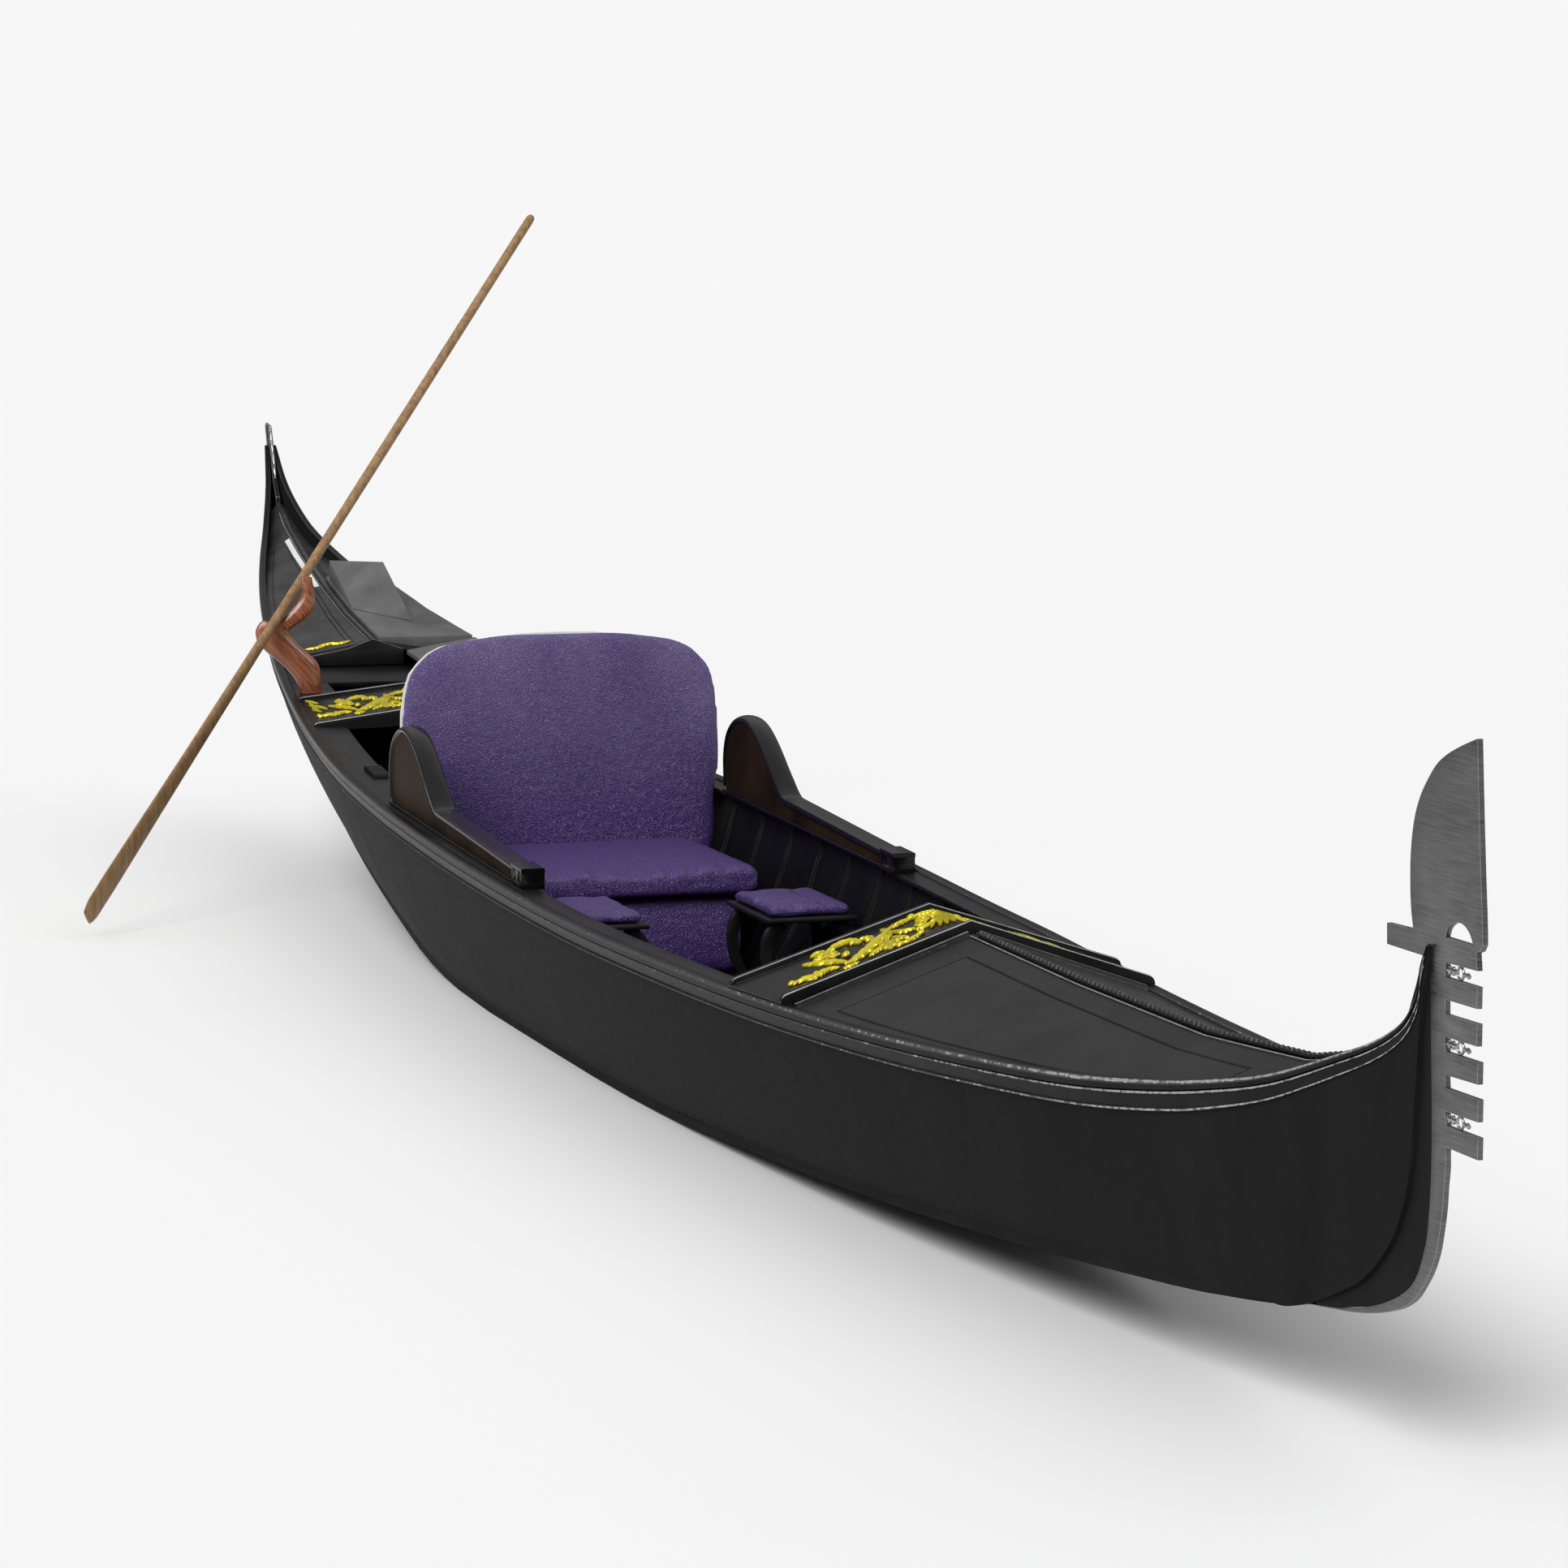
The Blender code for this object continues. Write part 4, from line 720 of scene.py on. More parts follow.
inner = np.maximum(SHEER[:, 1] - RAIL_IN, POST + 0.0001)
outer = SHEER[:, 1] + RAIL_OUT
middle, half = (inner + outer) / 2, (outer - inner) / 2
rubbing = np.interp(SHEER[:, 0], RUBBING[:, 0], RUBBING[:, 1])
RAIL = grid(SHEER[:, 0:1], middle[:, None] + half[:, None] * RAIL_SECTION[:, 0],
            SHEER[:, 2:3] - RAIL_HIGH[:, None] * (1 - RAIL_SECTION[:, 1]),
            rubbing[:, None] * RAIL_SECTION[:, 2])

inside_ends = slice(FINE, -2)
top = OUTSIDE[inside_ends, -1]
down = OUTSIDE[inside_ends, -5] - top
down /= np.linalg.norm(down, axis=1)[:, None]
slim = np.interp(top[:, 0], [4.60, 5.26], [1.0, 0.42])[:, None]
BAND = np.zeros((len(top), len(BAND_SECTION), 4))
BAND[..., :3] = top[:, None] + down[:, None] * (BAND_SECTION[:, 0] * slim)[..., None]
BAND[..., 1] += np.maximum(BAND_SECTION[:, 1] * slim, 0.0012)
BAND[..., 3] = BAND_SECTION[:, 2] * rubbing[inside_ends, None]
for side in SIDES:
    side_piece(side, "rail", [bar(RAIL)], RAIL_PAINT, "gunwale_rail")
    side_piece(side, "beaded_band", [bar(BAND)], RAIL_PAINT, "rub_band")
print("rail sections", len(RAIL), "band sections", len(BAND))

# %% [markdown]
# ## Bow iron
#
# The iron is one steel plate, brushed along the boat, with six teeth and a blade for a head. A flat
# curve with two closed lines, the outline and the hole, can be filled, given a thickness and eased
# at its edges in one go. The lines are smooth where the plate is curved and keep their corners at
# the teeth. Between the teeth sit cast ornaments: a leaf, a collar and an open ring with a finial.

# %% Cut the iron
IRON_HALF = 0.0060
IRON_EASE = 0.0010
TANG = [(5.112, 1.016), (5.110, 1.057)]
BLADE_BACK = [(5.2187, 1.061), (5.208, 1.099), (5.2036, 1.128), (5.2014, 1.1585), (5.2014, 1.205),
              (5.205, 1.236), (5.210, 1.260), (5.218, 1.284), (5.2355, 1.3165), (5.2635, 1.3505),
              (5.301, 1.385), (5.335, 1.404), (5.387, 1.425), (5.4505, 1.446)]
BLADE_FRONT = [(5.455, 1.446), (5.468, 1.315), (5.481, 1.197), (5.493, 1.094), (5.4945, 1.0725),
               (5.486, 1.060), (5.4705, 1.054)]
# The teeth from the top down. Columns: front x, front top and bottom, root x, root top and bottom.
TEETH = [
    (5.476, 1.054, 1.022, 5.3505, 1.054, 1.018), (5.478, 0.993, 0.952, 5.3535, 0.991, 0.949),
    (5.481, 0.925, 0.883, 5.3555, 0.922, 0.879), (5.488, 0.855, 0.8135, 5.3605, 0.852, 0.808),
    (5.492, 0.7865, 0.744, 5.3640, 0.784, 0.740), (5.495, 0.716, 0.674, 5.3700, 0.714, 0.673),
]
STRIP_FRONT = [(5.3705, 0.668), (5.372, 0.632), (5.368, 0.601), (5.364, 0.554), (5.354, 0.506),
               (5.342, 0.4645), (5.321, 0.4255), (5.2895, 0.387), (5.261, 0.359), (5.222, 0.335),
               (5.162, 0.311), (5.117, 0.297), (5.048, 0.280), (4.978, 0.2665), (4.906, 0.255),
               (4.8515, 0.2467), (4.8035, 0.2405)]
STRIP_BACK = [(4.807, 0.2419), (4.851, 0.249), (4.942, 0.265), (5.048, 0.292), (5.116, 0.314),
              (5.177, 0.340), (5.220, 0.363), (5.253, 0.389), (5.275, 0.418), (5.287, 0.444),
              (5.301, 0.479), (5.309, 0.527), (5.313, 0.575), (5.314, 0.621), (5.312, 0.714),
              (5.303, 0.835), (5.297, 0.927), (5.289, 1.017)]
HOLE = [(5.348, 1.066), (5.3555, 1.0815), (5.377, 1.095), (5.399, 1.100), (5.425, 1.0965),
        (5.4445, 1.0845), (5.458, 1.067)]

teeth = np.array(TEETH)
comb = np.stack([teeth[:, [3, 0, 0, 3]], teeth[:, [4, 1, 2, 5]]], -1).reshape(-1, 2)[2:]
outline = np.concatenate([TANG, through(BLADE_BACK, 5), through(BLADE_FRONT[:5], 3), BLADE_FRONT[5:], comb,
                          through(STRIP_FRONT, 4), through(STRIP_BACK, 4)])
plate_curve = bpy.data.curves.new("bow_iron_lines", "CURVE")
plate_curve.dimensions = "2D"
plate_curve.fill_mode = "BOTH"
plate_curve.extrude = IRON_HALF - IRON_EASE
plate_curve.bevel_depth = IRON_EASE
plate_curve.bevel_resolution = 1
plate_curve.offset = -IRON_EASE
for ring_of_points in (outline, through(HOLE, 4)):
    spline = plate_curve.splines.new("POLY")
    spline.points.add(len(ring_of_points) - 1)
    spline.points.foreach_set("co", grid(*ring_of_points.T, 0.0, 1.0).ravel())
    spline.use_cyclic_u = True
holder = placed("bow_iron_lines", plate_curve)
bpy.context.view_layer.update()
iron_mesh = bpy.data.meshes.new_from_object(holder)
bpy.data.objects.remove(holder)
iron_mesh.transform(Matrix(((1, 0, 0, 0), (0, 0, -1, 0), (0, 1, 0, 0), (0, 0, 0, 1))))


def mark_easing(work):
    """Turn the faces outwards. The points in the middle of the eased edges carry the wear."""
    face_outwards(work)
    wear = work.verts.layers.float.new("wear")
    for point in work.verts:
        point[wear] = 1.0 * (IRON_HALF - IRON_EASE + 1e-5 < abs(point.co.y) < IRON_HALF - 1e-5)


reworked(iron_mesh, mark_easing)
show("brushed_bow_iron", iron_mesh, BOW_STEEL, ("bow_iron",))
print("iron", len(iron_mesh.vertices), "points")

# %% Cast the ornaments
ORNAMENTS = [(5.3535, 1.0055), (5.3605, 0.8675), (5.3670, 0.7280)]   # x at the iron, height of the centre
RING_OUT = 0.049        # from the iron to the ring's centre
# A turned profile along x. Columns: distance from the iron, radius.
LEAF_PROFILE = [(0.0006, 0.0092), (0.006, 0.0088), (0.011, 0.0050), (0.017, 0.0082), (0.023, 0.0088),
                (0.029, 0.0040), (0.033, 0.0060), (0.038, 0.0030)]
TIP_PROFILE = [(0.060, 0.0030), (0.066, 0.0048), (0.072, 0.0030), (0.078, 0.0055), (0.084, 0.0045),
               (0.090, 0.0012)]


def turned_bar(profile, centre, flat, flutes):
    """A turned shape along x: radius r(u), flattened across the boat and fluted by a cosine."""
    rows = through(profile, 4)
    a = full_turn(24)
    radius = rows[:, 1:2] * (1 + 0.10 * np.cos(flutes * a))
    return bar(grid(centre[0] + rows[:, 0:1], radius * np.cos(a) * flat, centre[1] + radius * np.sin(a)))


def ring(centre, radius, thick):
    """A ring of round wire in the upright plane along the boat."""
    a = np.linspace(0, 2 * np.pi, 33)[:, None]
    b = full_turn(8)
    out = radius + thick * np.cos(b)
    points = grid(centre[0] + out * np.cos(a), thick * np.sin(b), centre[1] + out * np.sin(a))
    return points.reshape(-1, 3), quads(33, 8, True).tolist()


for number, (x, z) in enumerate(ORNAMENTS, 1):
    shells = [turned_bar(LEAF_PROFILE, (x, z), 0.45, 6), turned_bar(TIP_PROFILE, (x, z), 0.55, 4),
              ring((x + RING_OUT, z), 0.0115, 0.0028)]
    piece(f"ornament_{number}", shells, BRIGHT, (f"bow_iron_ornament_{number}",), sharp=60)
print("ornaments", len(ORNAMENTS))

# %% [markdown]
# ## Stern strap
#
# A worn steel strap of short links runs up the stern post and over its tip. It follows the post's
# edge, and its height and width swell and shrink once for each link.

# %% Bend the strap over the stern's tip
STERN_EDGE = np.array([(-5.322, 1.388), (-5.345, 1.450), (-5.378, 1.520), (-5.421, 1.602), (-5.478, 1.611)])
LINK = 0.055
STRAP_HALF = (0.0060, 0.0022)   # half width between links, and how much wider a link is
STRAP_TALL = (0.0060, 0.0060)   # the same for its height
STRAP_OFF = 0.0012              # its edges' distance from the post's edge line

path = np.stack([np.interp(np.linspace(0, 4, 145), np.arange(5), STERN_EDGE[:, k]) for k in (0, 1)], 1)
length = np.concatenate([[0.0], np.cumsum(np.linalg.norm(np.diff(path, axis=0), axis=1))])
swell = np.abs(np.sin(np.pi * length / LINK)) ** 0.6
out_of = np.abs(heading(path)[1])
a = np.linspace(0, np.pi, 9)
half_wide = (STRAP_HALF[0] + STRAP_HALF[1] * swell)[:, None] * np.cos(a)
lift = STRAP_OFF + (STRAP_TALL[0] + STRAP_TALL[1] * swell)[:, None] * np.sin(a)
STRAP = grid(path[:, 0:1] + out_of[:, 0:1] * lift, half_wide, path[:, 1:2] + out_of[:, 1:2] * lift)
piece("stern_strap", [bar(STRAP)], BRIGHT, ("stern_iron",), sharp=50)
print("strap", round(float(length[-1]), 3), "m")

# %% [markdown]
# ## Decks with grooved panels
#
# Each half of a deck falls from the ridge to the side, and a groove cut round it makes a panel. The
# groove could be a Boolean cut, but a deck is a plain grid between two lines. So the grid gets extra
# columns along the groove's edges and extra rows at the panel's ends, and the points between them
# are pressed down.

# %% Press the grooves into the decks
FORE_RIDGE = np.array([(2.90, 0.700), (3.60, 0.692), (4.30, 0.698), (4.80, 0.735), (5.06, 0.790)])
AFT_RIDGE = np.array([(-5.26, 1.310), (-5.10, 1.215), (-4.80, 1.115), (-4.40, 1.010), (-4.00, 0.925),
                      (-3.51, 0.858)])
DECK = 0.014            # planking of the decks
GROOVE_HALF = 0.0026
GROOVE_SLOPE = 0.0012
GROOVE_DEEP = 0.0050
IN_GROOVE = [0, 1, 1, 0]                # which of the four points across a groove are pressed down
BETWEEN = (0.12, 0.3, 0.5, 0.7, 0.88)   # columns across a panel, as shares of its width
CORNERS = [-4.93, -4.40, -3.60]         # x at which the stern panel's lines bend


def line(table, x):
    """The value in a table's second column where its first is x."""
    return np.interp(x, *np.transpose(table))


def sheer_at(x):
    """Half beam and height of the sheer line at x."""
    return np.interp(x, SHEER[:, 0], SHEER[:, 1]), np.interp(x, SHEER[:, 0], SHEER[:, 2])


def deck_edge(x):
    """Where a deck meets the rail's inner face."""
    return sheer_at(x)[0] - np.interp(x, SHEER[:, 0], RAIL_IN) - 0.0006


def deck_z(x, y, ridge, drop):
    """Height of a deck: a straight fall from the ridge to a little under the sheer."""
    share = np.clip(np.abs(y) / deck_edge(x), 0, 1)
    return line(ridge, x) * (1 - share) + (sheer_at(x)[1] - drop) * share


def fore_z(x, y):
    return deck_z(x, y, FORE_RIDGE, 0.010)


def stern_z(x, y):
    return deck_z(x, y, AFT_RIDGE, np.interp(x, [-5.26, -4.60, -3.51], [0.075, 0.035, 0.010]))


def grooved_half(span, height, panel, outer_line, *inner_lines):
    """Half a deck as a plate between two grids of x and y. The upper one's points are pressed down where
    they lie in a groove: along each line, and across the panel's two ends."""
    steps = (-GROOVE_HALF - GROOVE_SLOPE, -GROOVE_HALF, GROOVE_HALF, GROOVE_HALF + GROOVE_SLOPE)
    ends = [end + step for end in panel for step in steps]
    x = np.unique(np.round(np.concatenate([np.arange(span[0], span[1], 0.03), [span[1]], ends]), 5))
    outer, edge = outer_line(x), deck_edge(x)
    columns, marks = [np.full_like(x, GAP)], [0]
    for inner in [inner_line(x) for inner_line in inner_lines]:
        columns += [inner + step for step in steps]
        marks += IN_GROOVE
    columns += [inner + (outer - inner) * share for share in BETWEEN]
    columns += [outer + step for step in steps] + [edge]
    marks = np.array(marks + [0] * len(BETWEEN) + IN_GROOVE + [0], bool)
    y = np.minimum(np.stack(columns, 1), edge[:, None])
    x = x[:, None]
    along = (x > panel[0] - GROOVE_HALF - 1e-5) & (x < panel[1] + GROOVE_HALF + 1e-5)
    at_end = np.any([np.abs(x - end) < GROOVE_HALF + 1e-5 for end in panel], 0)
    inside = np.zeros(len(marks), bool)
    inside[-2 * len(steps) - len(BETWEEN):-2] = True
    pressed = (along & marks) | (at_end & inside)
    return plate(grid(x, y, height(x, y) - GROOVE_DEEP * pressed), grid(x, y, height(x, y) - DECK))


fore_deck = grooved_half(
    (2.912, 5.060), fore_z, (3.066, 4.662),
    lambda x: sheer_at(x)[0] - np.interp(x, [3.06, 4.25, 4.66], [0.070, 0.040, 0.036]),
    lambda x: np.full_like(x, 0.076))
stern_deck = grooved_half(
    (-5.240, -3.512), stern_z, (-4.935, -3.535), lambda x: sheer_at(x)[0] - 0.055,
    lambda x: np.interp(x, CORNERS, [0.028, 0.037, 0.066]),
    lambda x: np.interp(x, CORNERS, [0.040, 0.055, 0.087]))
for side in SIDES:
    side_piece(side, "foredeck_panel", [fore_deck], DECK_PAINT, "foredeck", 20)
    side_piece(side, "stern_panel", [stern_deck], STERN_PAINT, "stern_deck", 20)

# A worn pale strip on the stern deck, starboard of the ridge. Columns: distance across, height.
STRIP_SECTION = np.array([(0.0150, 0.0002), (0.0158, 0.0016), (0.0342, 0.0016), (0.0350, 0.0002)])
STRIP_THICK = 0.002
x, across = np.linspace(-4.965, -4.385, 30)[:, None], STRIP_SECTION[:, 0]
strip = grid(x, across, stern_z(x, across) + STRIP_SECTION[:, 1])
strip_points, strip_faces = plate(strip, strip - (0, 0, STRIP_THICK))
piece("worn_strip", [(sided(strip_points, "starboard"), strip_faces)], PALE, sharp=20)
print("deck points", len(fore_deck[0]), len(stern_deck[0]))

# %% [markdown]
# ## Rope mouldings
#
# A carved rope lies on the foredeck's ridge between two thin fillets, and a smaller one on the stern
# deck. A twisted rope is a bar whose radius goes up and down three times round, with the pattern
# turning as it goes along: radius = R (0.66 + 0.34 |cos(1.5 (angle - turn))|).

# %% Twist the ropes along the ridges
def rope(low, high, ridge, radius, lay, lift):
    """A three-strand rope along a deck's ridge, less tall than wide, its strands' crowns rubbed."""
    x = np.arange(low, high, lay / 9)[:, None]
    a = full_turn(18)
    strand = 0.66 + 0.34 * np.abs(np.cos(1.5 * (a - 2 * np.pi * x / (3 * lay))))
    up = radius * 0.72 * strand * np.sin(a)
    return bar(grid(x, radius * strand * np.cos(a), line(ridge, x) + lift + up,
                    0.66 * np.clip(strand - 0.90, 0, 1) / 0.10 * (np.sin(a) > 0.1)))


# A thin strip. Columns: across from -1 to 1, height from 0 to 1, wear.
FILLET_SECTION = np.array([(-1, 0.0, 0), (-1, 0.7, 0.4), (-0.5, 1, 0.8), (0.5, 1, 0.8), (1, 0.7, 0.4),
                           (1, 0.0, 0)])


def fillets(low, high, height, y, half, tall):
    """A thin strip on each side of a deck at a fixed distance from the ridge."""
    x, ys = np.arange(low, high, 0.03)[:, None], y + half * FILLET_SECTION[:, 0]
    strip = grid(x, ys, height(x, ys) + GAP + tall * FILLET_SECTION[:, 1], FILLET_SECTION[:, 2])
    return [bar(sided(strip, side)) for side in SIDES]


fore_rope = [rope(2.960, 5.000, FORE_RIDGE, 0.0105, 0.0240, 0.0068)]
fore_rope += fillets(2.930, 5.020, fore_z, 0.0150, 0.0018, 0.0045)
piece("foredeck_rope", fore_rope, TRIM_PAINT, ("foredeck_ridge_trim",), sharp=60)
stern_rope = [rope(-5.180, -3.520, AFT_RIDGE, 0.0065, 0.0180, 0.0045)]
stern_rope += fillets(-5.180, -3.520, stern_z, 0.0115, 0.0014, 0.0030)
piece("stern_rope", stern_rope, TRIM_PAINT, sharp=60)

# A strip on the deck along the foot of the front crossbeam. Columns: x, height, wear.
FOOT_SECTION = np.array([(2.9125, 0.0, 0), (2.9125, 0.010, 0.2), (2.917, 0.013, 0.8), (2.926, 0.0115, 0.3),
                         (2.932, 0.006, 0.5), (2.936, 0.0, 0)])
x = FOOT_SECTION[:, 0]
y = np.minimum(np.linspace(0.016, 0.470, 30)[:, None], deck_edge(x) - 0.001)
foot_strip = grid(x, y, fore_z(x, y) + GAP + FOOT_SECTION[:, 1], FOOT_SECTION[:, 2])
piece("foredeck_foot_strip", [bar(sided(foot_strip, side)) for side in SIDES], TRIM_PAINT,
      sharp=40)
print("ropes", len(fore_rope) + len(stern_rope), "shells")

# %% [markdown]
# ## Crossbeams
#
# A crossbeam is a broad gabled board with a raised lip along each edge. Its section along the boat is
# the same everywhere, so it is swept from one side to the other, the lips sinking to nothing in the
# last centimetres as the rounded ends of the real ones do.

# %% Sweep the two crossbeams
# From the lower edge of one face up over its lip. Columns: distance in, height over the board, wear.
LIP_SECTION = [(0.0000, -0.004, 0.0), (0.0000, 0.0115, 0.2), (0.0012, 0.0142, 1.0), (0.0035, 0.0150, 0.8),
               (0.0060, 0.0150, 0.1), (0.0125, 0.0148, 0.4), (0.0142, 0.0138, 1.0), (0.0152, 0.0110, 0.2),
               (0.0160, 0.0006, 0.0), (0.0215, 0.0002, 0.0), (0.0222, 0.0022, 0.2), (0.0250, 0.0028, 0.6),
               (0.0278, 0.0022, 0.2), (0.0285, 0.0000, 0.0)]
BEAMS = {"front": (2.598, 2.902), "rear": (-2.850, -2.350)}     # aft and fore edge
NEAR_END = np.array([0, .004, .01, .02, .03, .05])      # stations near a beam's end, as shares of its half
LIP_FADES = 0.030       # the lips sink over the last of the half width
RAIL_OVER = 0.032       # how far in the front beam lies over the rail


def beam_end(x, kind):
    """How far a beam reaches out from the centreline."""
    return sheer_at(x)[0] - 0.004 if kind == "front" else deck_edge(x)


def beam_top(x, y, kind):
    """Height of a beam's board: a straight fall from the crown to its end."""
    if kind == "front":
        crown, edge = 0.716, sheer_at(x)[1] + 0.005
    else:
        crown, edge = np.interp(x, BEAMS["rear"], (0.752, 0.722)), sheer_at(x)[1] - 0.010
    share = np.clip(np.abs(y) / beam_end(x, kind), 0, 1)
    return crown * (1 - share) + edge * share


def board_of(kind):
    """One beam's height as a function of x and y alone."""
    def top(x, y):
        return beam_top(x, y, kind)
    return top


def beam_rings(kind):
    """Sections along the boat at stations across it; each point's height is board + lip + fall."""
    aft, fore = BEAMS[kind]
    near, lip, rubbed = np.transpose(LIP_SECTION)
    x = np.concatenate([aft + near, aft + np.linspace(0.04, fore - aft - 0.04, 4), (fore - near)[::-1]])
    lift, wear = (np.concatenate([column, np.zeros(4), column[::-1]]) for column in (lip, rubbed))
    s = np.concatenate([-1 + NEAR_END, np.linspace(-0.9, 0.9, 25), 1 - NEAR_END[::-1]])
    out = beam_end(x, kind)
    y = s[:, None] * out
    gone = np.clip((1 - np.abs(s)) / LIP_FADES, 0, 1)
    fade = np.sqrt(1 - (1 - gone) ** 2)[:, None]
    board = beam_top(x, y, kind)
    top_z = board + np.where(lift > 0, lift * fade, lift)
    under_z = board - np.interp(np.abs(s), [0.0, 0.93, 1.0], [0.060, 0.018, 0.004])[:, None]
    if kind == "front":
        over_rail = np.abs(y) > out - RAIL_OVER
        under_z = np.where(over_rail, np.maximum(under_z, sheer_at(x)[1] + 2 * GAP), under_z)
    upper = grid(x, y, np.maximum(top_z, under_z + 0.001), wear * fade)
    return np.concatenate([upper, grid(x, y, under_z, 0)[:, [-1, 0]]], 1)


for kind in BEAMS:
    piece(f"{kind}_crossbeam_board", [bar(beam_rings(kind))], TRIM_PAINT,
          (f"{kind}_crossbeam",), sharp=30)
print("crossbeams", len(BEAMS))

# %% [markdown]
# ## Gilt carving
#
# The carving is acanthus scrollwork: long leaves that branch from a winding stem, curls with a bead
# in the eye, and a fan at the ridge. Sculpting it by hand would be slow to change, so one leaf is a
# function. Its middle line is a curve through three points, its width swells and is notched into
# lobes, and its section is a low crown with flutes. A list of stems then lays out the whole spray.

# %% Carve a leaf, a curl and a fan
def leaf(start_at, bend, tip, wide, tall, lobes):
    """A leaf's points (u, v, height, shade). Its middle line runs from start to tip, pulled towards the
    bend. Its half width is wide times a swell times the notches between the lobes, and its height is tall
    times the share: a crown 1 - |v|^3 plus three ribs cos(3 pi v), a little higher towards the tip."""
    t = np.linspace(0.0, 1.0, 6 * lobes + 1)[:, None]
    points = np.array([start_at, bend, tip], float)
    middle = (1 - t) ** 2 * points[0] + 2 * t * (1 - t) * points[1] + t ** 2 * points[2]
    along, across = heading(middle)
    swell = np.sin(np.pi * (0.08 + 0.88 * t)) ** 0.8
    half = wide * swell * (0.66 + 0.34 * np.abs(np.sin(lobes * np.pi * t)) ** 0.6)
    v = np.linspace(-1, 1, 13)[None, :]
    skew = np.abs(v) * half * 0.7
    body = (1 - np.abs(v) ** 3) * (0.45 + 0.55 * swell)
    ribs = 0.28 * np.cos(3 * np.pi * v) * swell
    curl_up = 0.35 * t ** 3
    share = np.maximum(body + (ribs + curl_up) * (1 - v ** 6), 0.02)
    plan = middle[:, None] + across[:, None] * (half * v)[..., None] + along[:, None] * skew[..., None]
    # The fourth column, the share, is painted shade on the gilding: low places darker.
    return np.concatenate([plan, (0.58 * tall * share)[..., None], share[..., None]], -1)


def curl(centre, radius, turns, begin, thick, hand):
    """A tapering wire wound in a spiral, radius falling to a fifth, rising a little towards the eye."""
    t = np.linspace(0.0, 1.0, 40)[:, None]
    angle = begin + hand * turns * 2 * np.pi * t
    a = full_turn(8)
    wire = thick * (1 - 0.45 * t)
    reach = radius * (1 - 0.8 * t) + wire * np.cos(a)
    # The fourth column is painted shade: the wire light on top, dark underneath.
    return grid(centre[0] + reach * np.cos(angle), centre[1] + reach * np.sin(angle),
                np.maximum(thick * 0.8 + 0.004 * t + wire * np.sin(a), 0.0), 0.5 + 0.5 * np.sin(a))


def bead(centre, radius):
    """A knob: rings of a ball whose lower part is cut off by the board."""
    t, a = np.linspace(0.02, 0.98, 9)[:, None] * np.pi, full_turn(12)
    # The fourth column is painted shade: the ball light on top, darker towards the board.
    return grid(centre[0] + radius * np.sin(t) * np.cos(a), centre[1] + radius * np.sin(t) * np.sin(a),
                0.85 * np.maximum(radius * 0.6 + radius * np.cos(t), 0.0), 0.6 + 0.4 * np.cos(t))


# One spray, laid out on its board: u out from the ridge, v along the boat from the board's middle.
# Leaf columns: start u, v; bend u, v; tip u, v; half width; height; lobes.
SPRAY = [
    (0.369, 0.088, 0.388, 0.044, 0.427, 0.057, 0.013, 0.012, 3),
    (0.359, 0.070, 0.374, 0.053, 0.393, 0.033, 0.010, 0.011, 3),
    (0.308, 0.072, 0.330, 0.044, 0.376, 0.073, 0.021, 0.015, 5),
    (0.281, 0.053, 0.304, -0.011, 0.358, -0.062, 0.017, 0.015, 4),
    (0.301, -0.047, 0.287, -0.141, 0.324, -0.100, 0.017, 0.015, 4),
    (0.305, -0.036, 0.263, -0.108, 0.290, -0.021, 0.014, 0.013, 4),
    (0.291, -0.087, 0.226, -0.160, 0.208, -0.065, 0.022, 0.018, 6),
    (0.216, -0.083, 0.179, -0.106, 0.183, -0.037, 0.016, 0.015, 4),
    (0.295, 0.073, 0.238, 0.058, 0.113, -0.101, 0.022, 0.019, 6),
    (0.262, 0.086, 0.289, 0.106, 0.305, 0.091, 0.010, 0.011, 3),
    (0.144, -0.020, 0.128, -0.093, 0.143, -0.106, 0.012, 0.013, 3),
    (0.174, 0.036, 0.198, 0.044, 0.235, 0.081, 0.013, 0.013, 4),
    (0.159, -0.035, 0.182, 0.019, 0.179, 0.089, 0.020, 0.016, 5),
    (0.152, 0.003, 0.168, 0.095, 0.142, 0.071, 0.014, 0.013, 4),
    (0.146, -0.014, 0.135, 0.023, 0.123, 0.050, 0.011, 0.012, 3),
    (0.148, 0.078, 0.128, 0.081, 0.097, 0.058, 0.013, 0.014, 4),
    (0.123, -0.082, 0.097, -0.109, 0.068, -0.106, 0.015, 0.015, 4),
    (0.126, -0.065, 0.122, -0.012, 0.088, -0.009, 0.013, 0.013, 4),
    (0.071, -0.102, 0.040, -0.118, 0.008, -0.094, 0.018, 0.015, 5),
    (0.090, -0.003, 0.081, 0.019, 0.045, -0.003, 0.013, 0.013, 4),
    (0.071, -0.045, 0.040, -0.089, 0.021, -0.049, 0.017, 0.014, 5),
    (0.010, -0.075, 0.014, -0.100, 0.006, -0.116, 0.010, 0.013, 3),
    (0.012, -0.074, 0.036, -0.010, 0.060, 0.040, 0.010, 0.014, 3),
    (0.010, -0.072, 0.026, 0.000, 0.042, 0.054, 0.010, 0.015, 3),
    (0.008, -0.072, 0.016, 0.005, 0.026, 0.062, 0.010, 0.016, 3),
    (0.004, -0.072, 0.006, 0.005, 0.009, 0.068, 0.010, 0.017, 3),
]
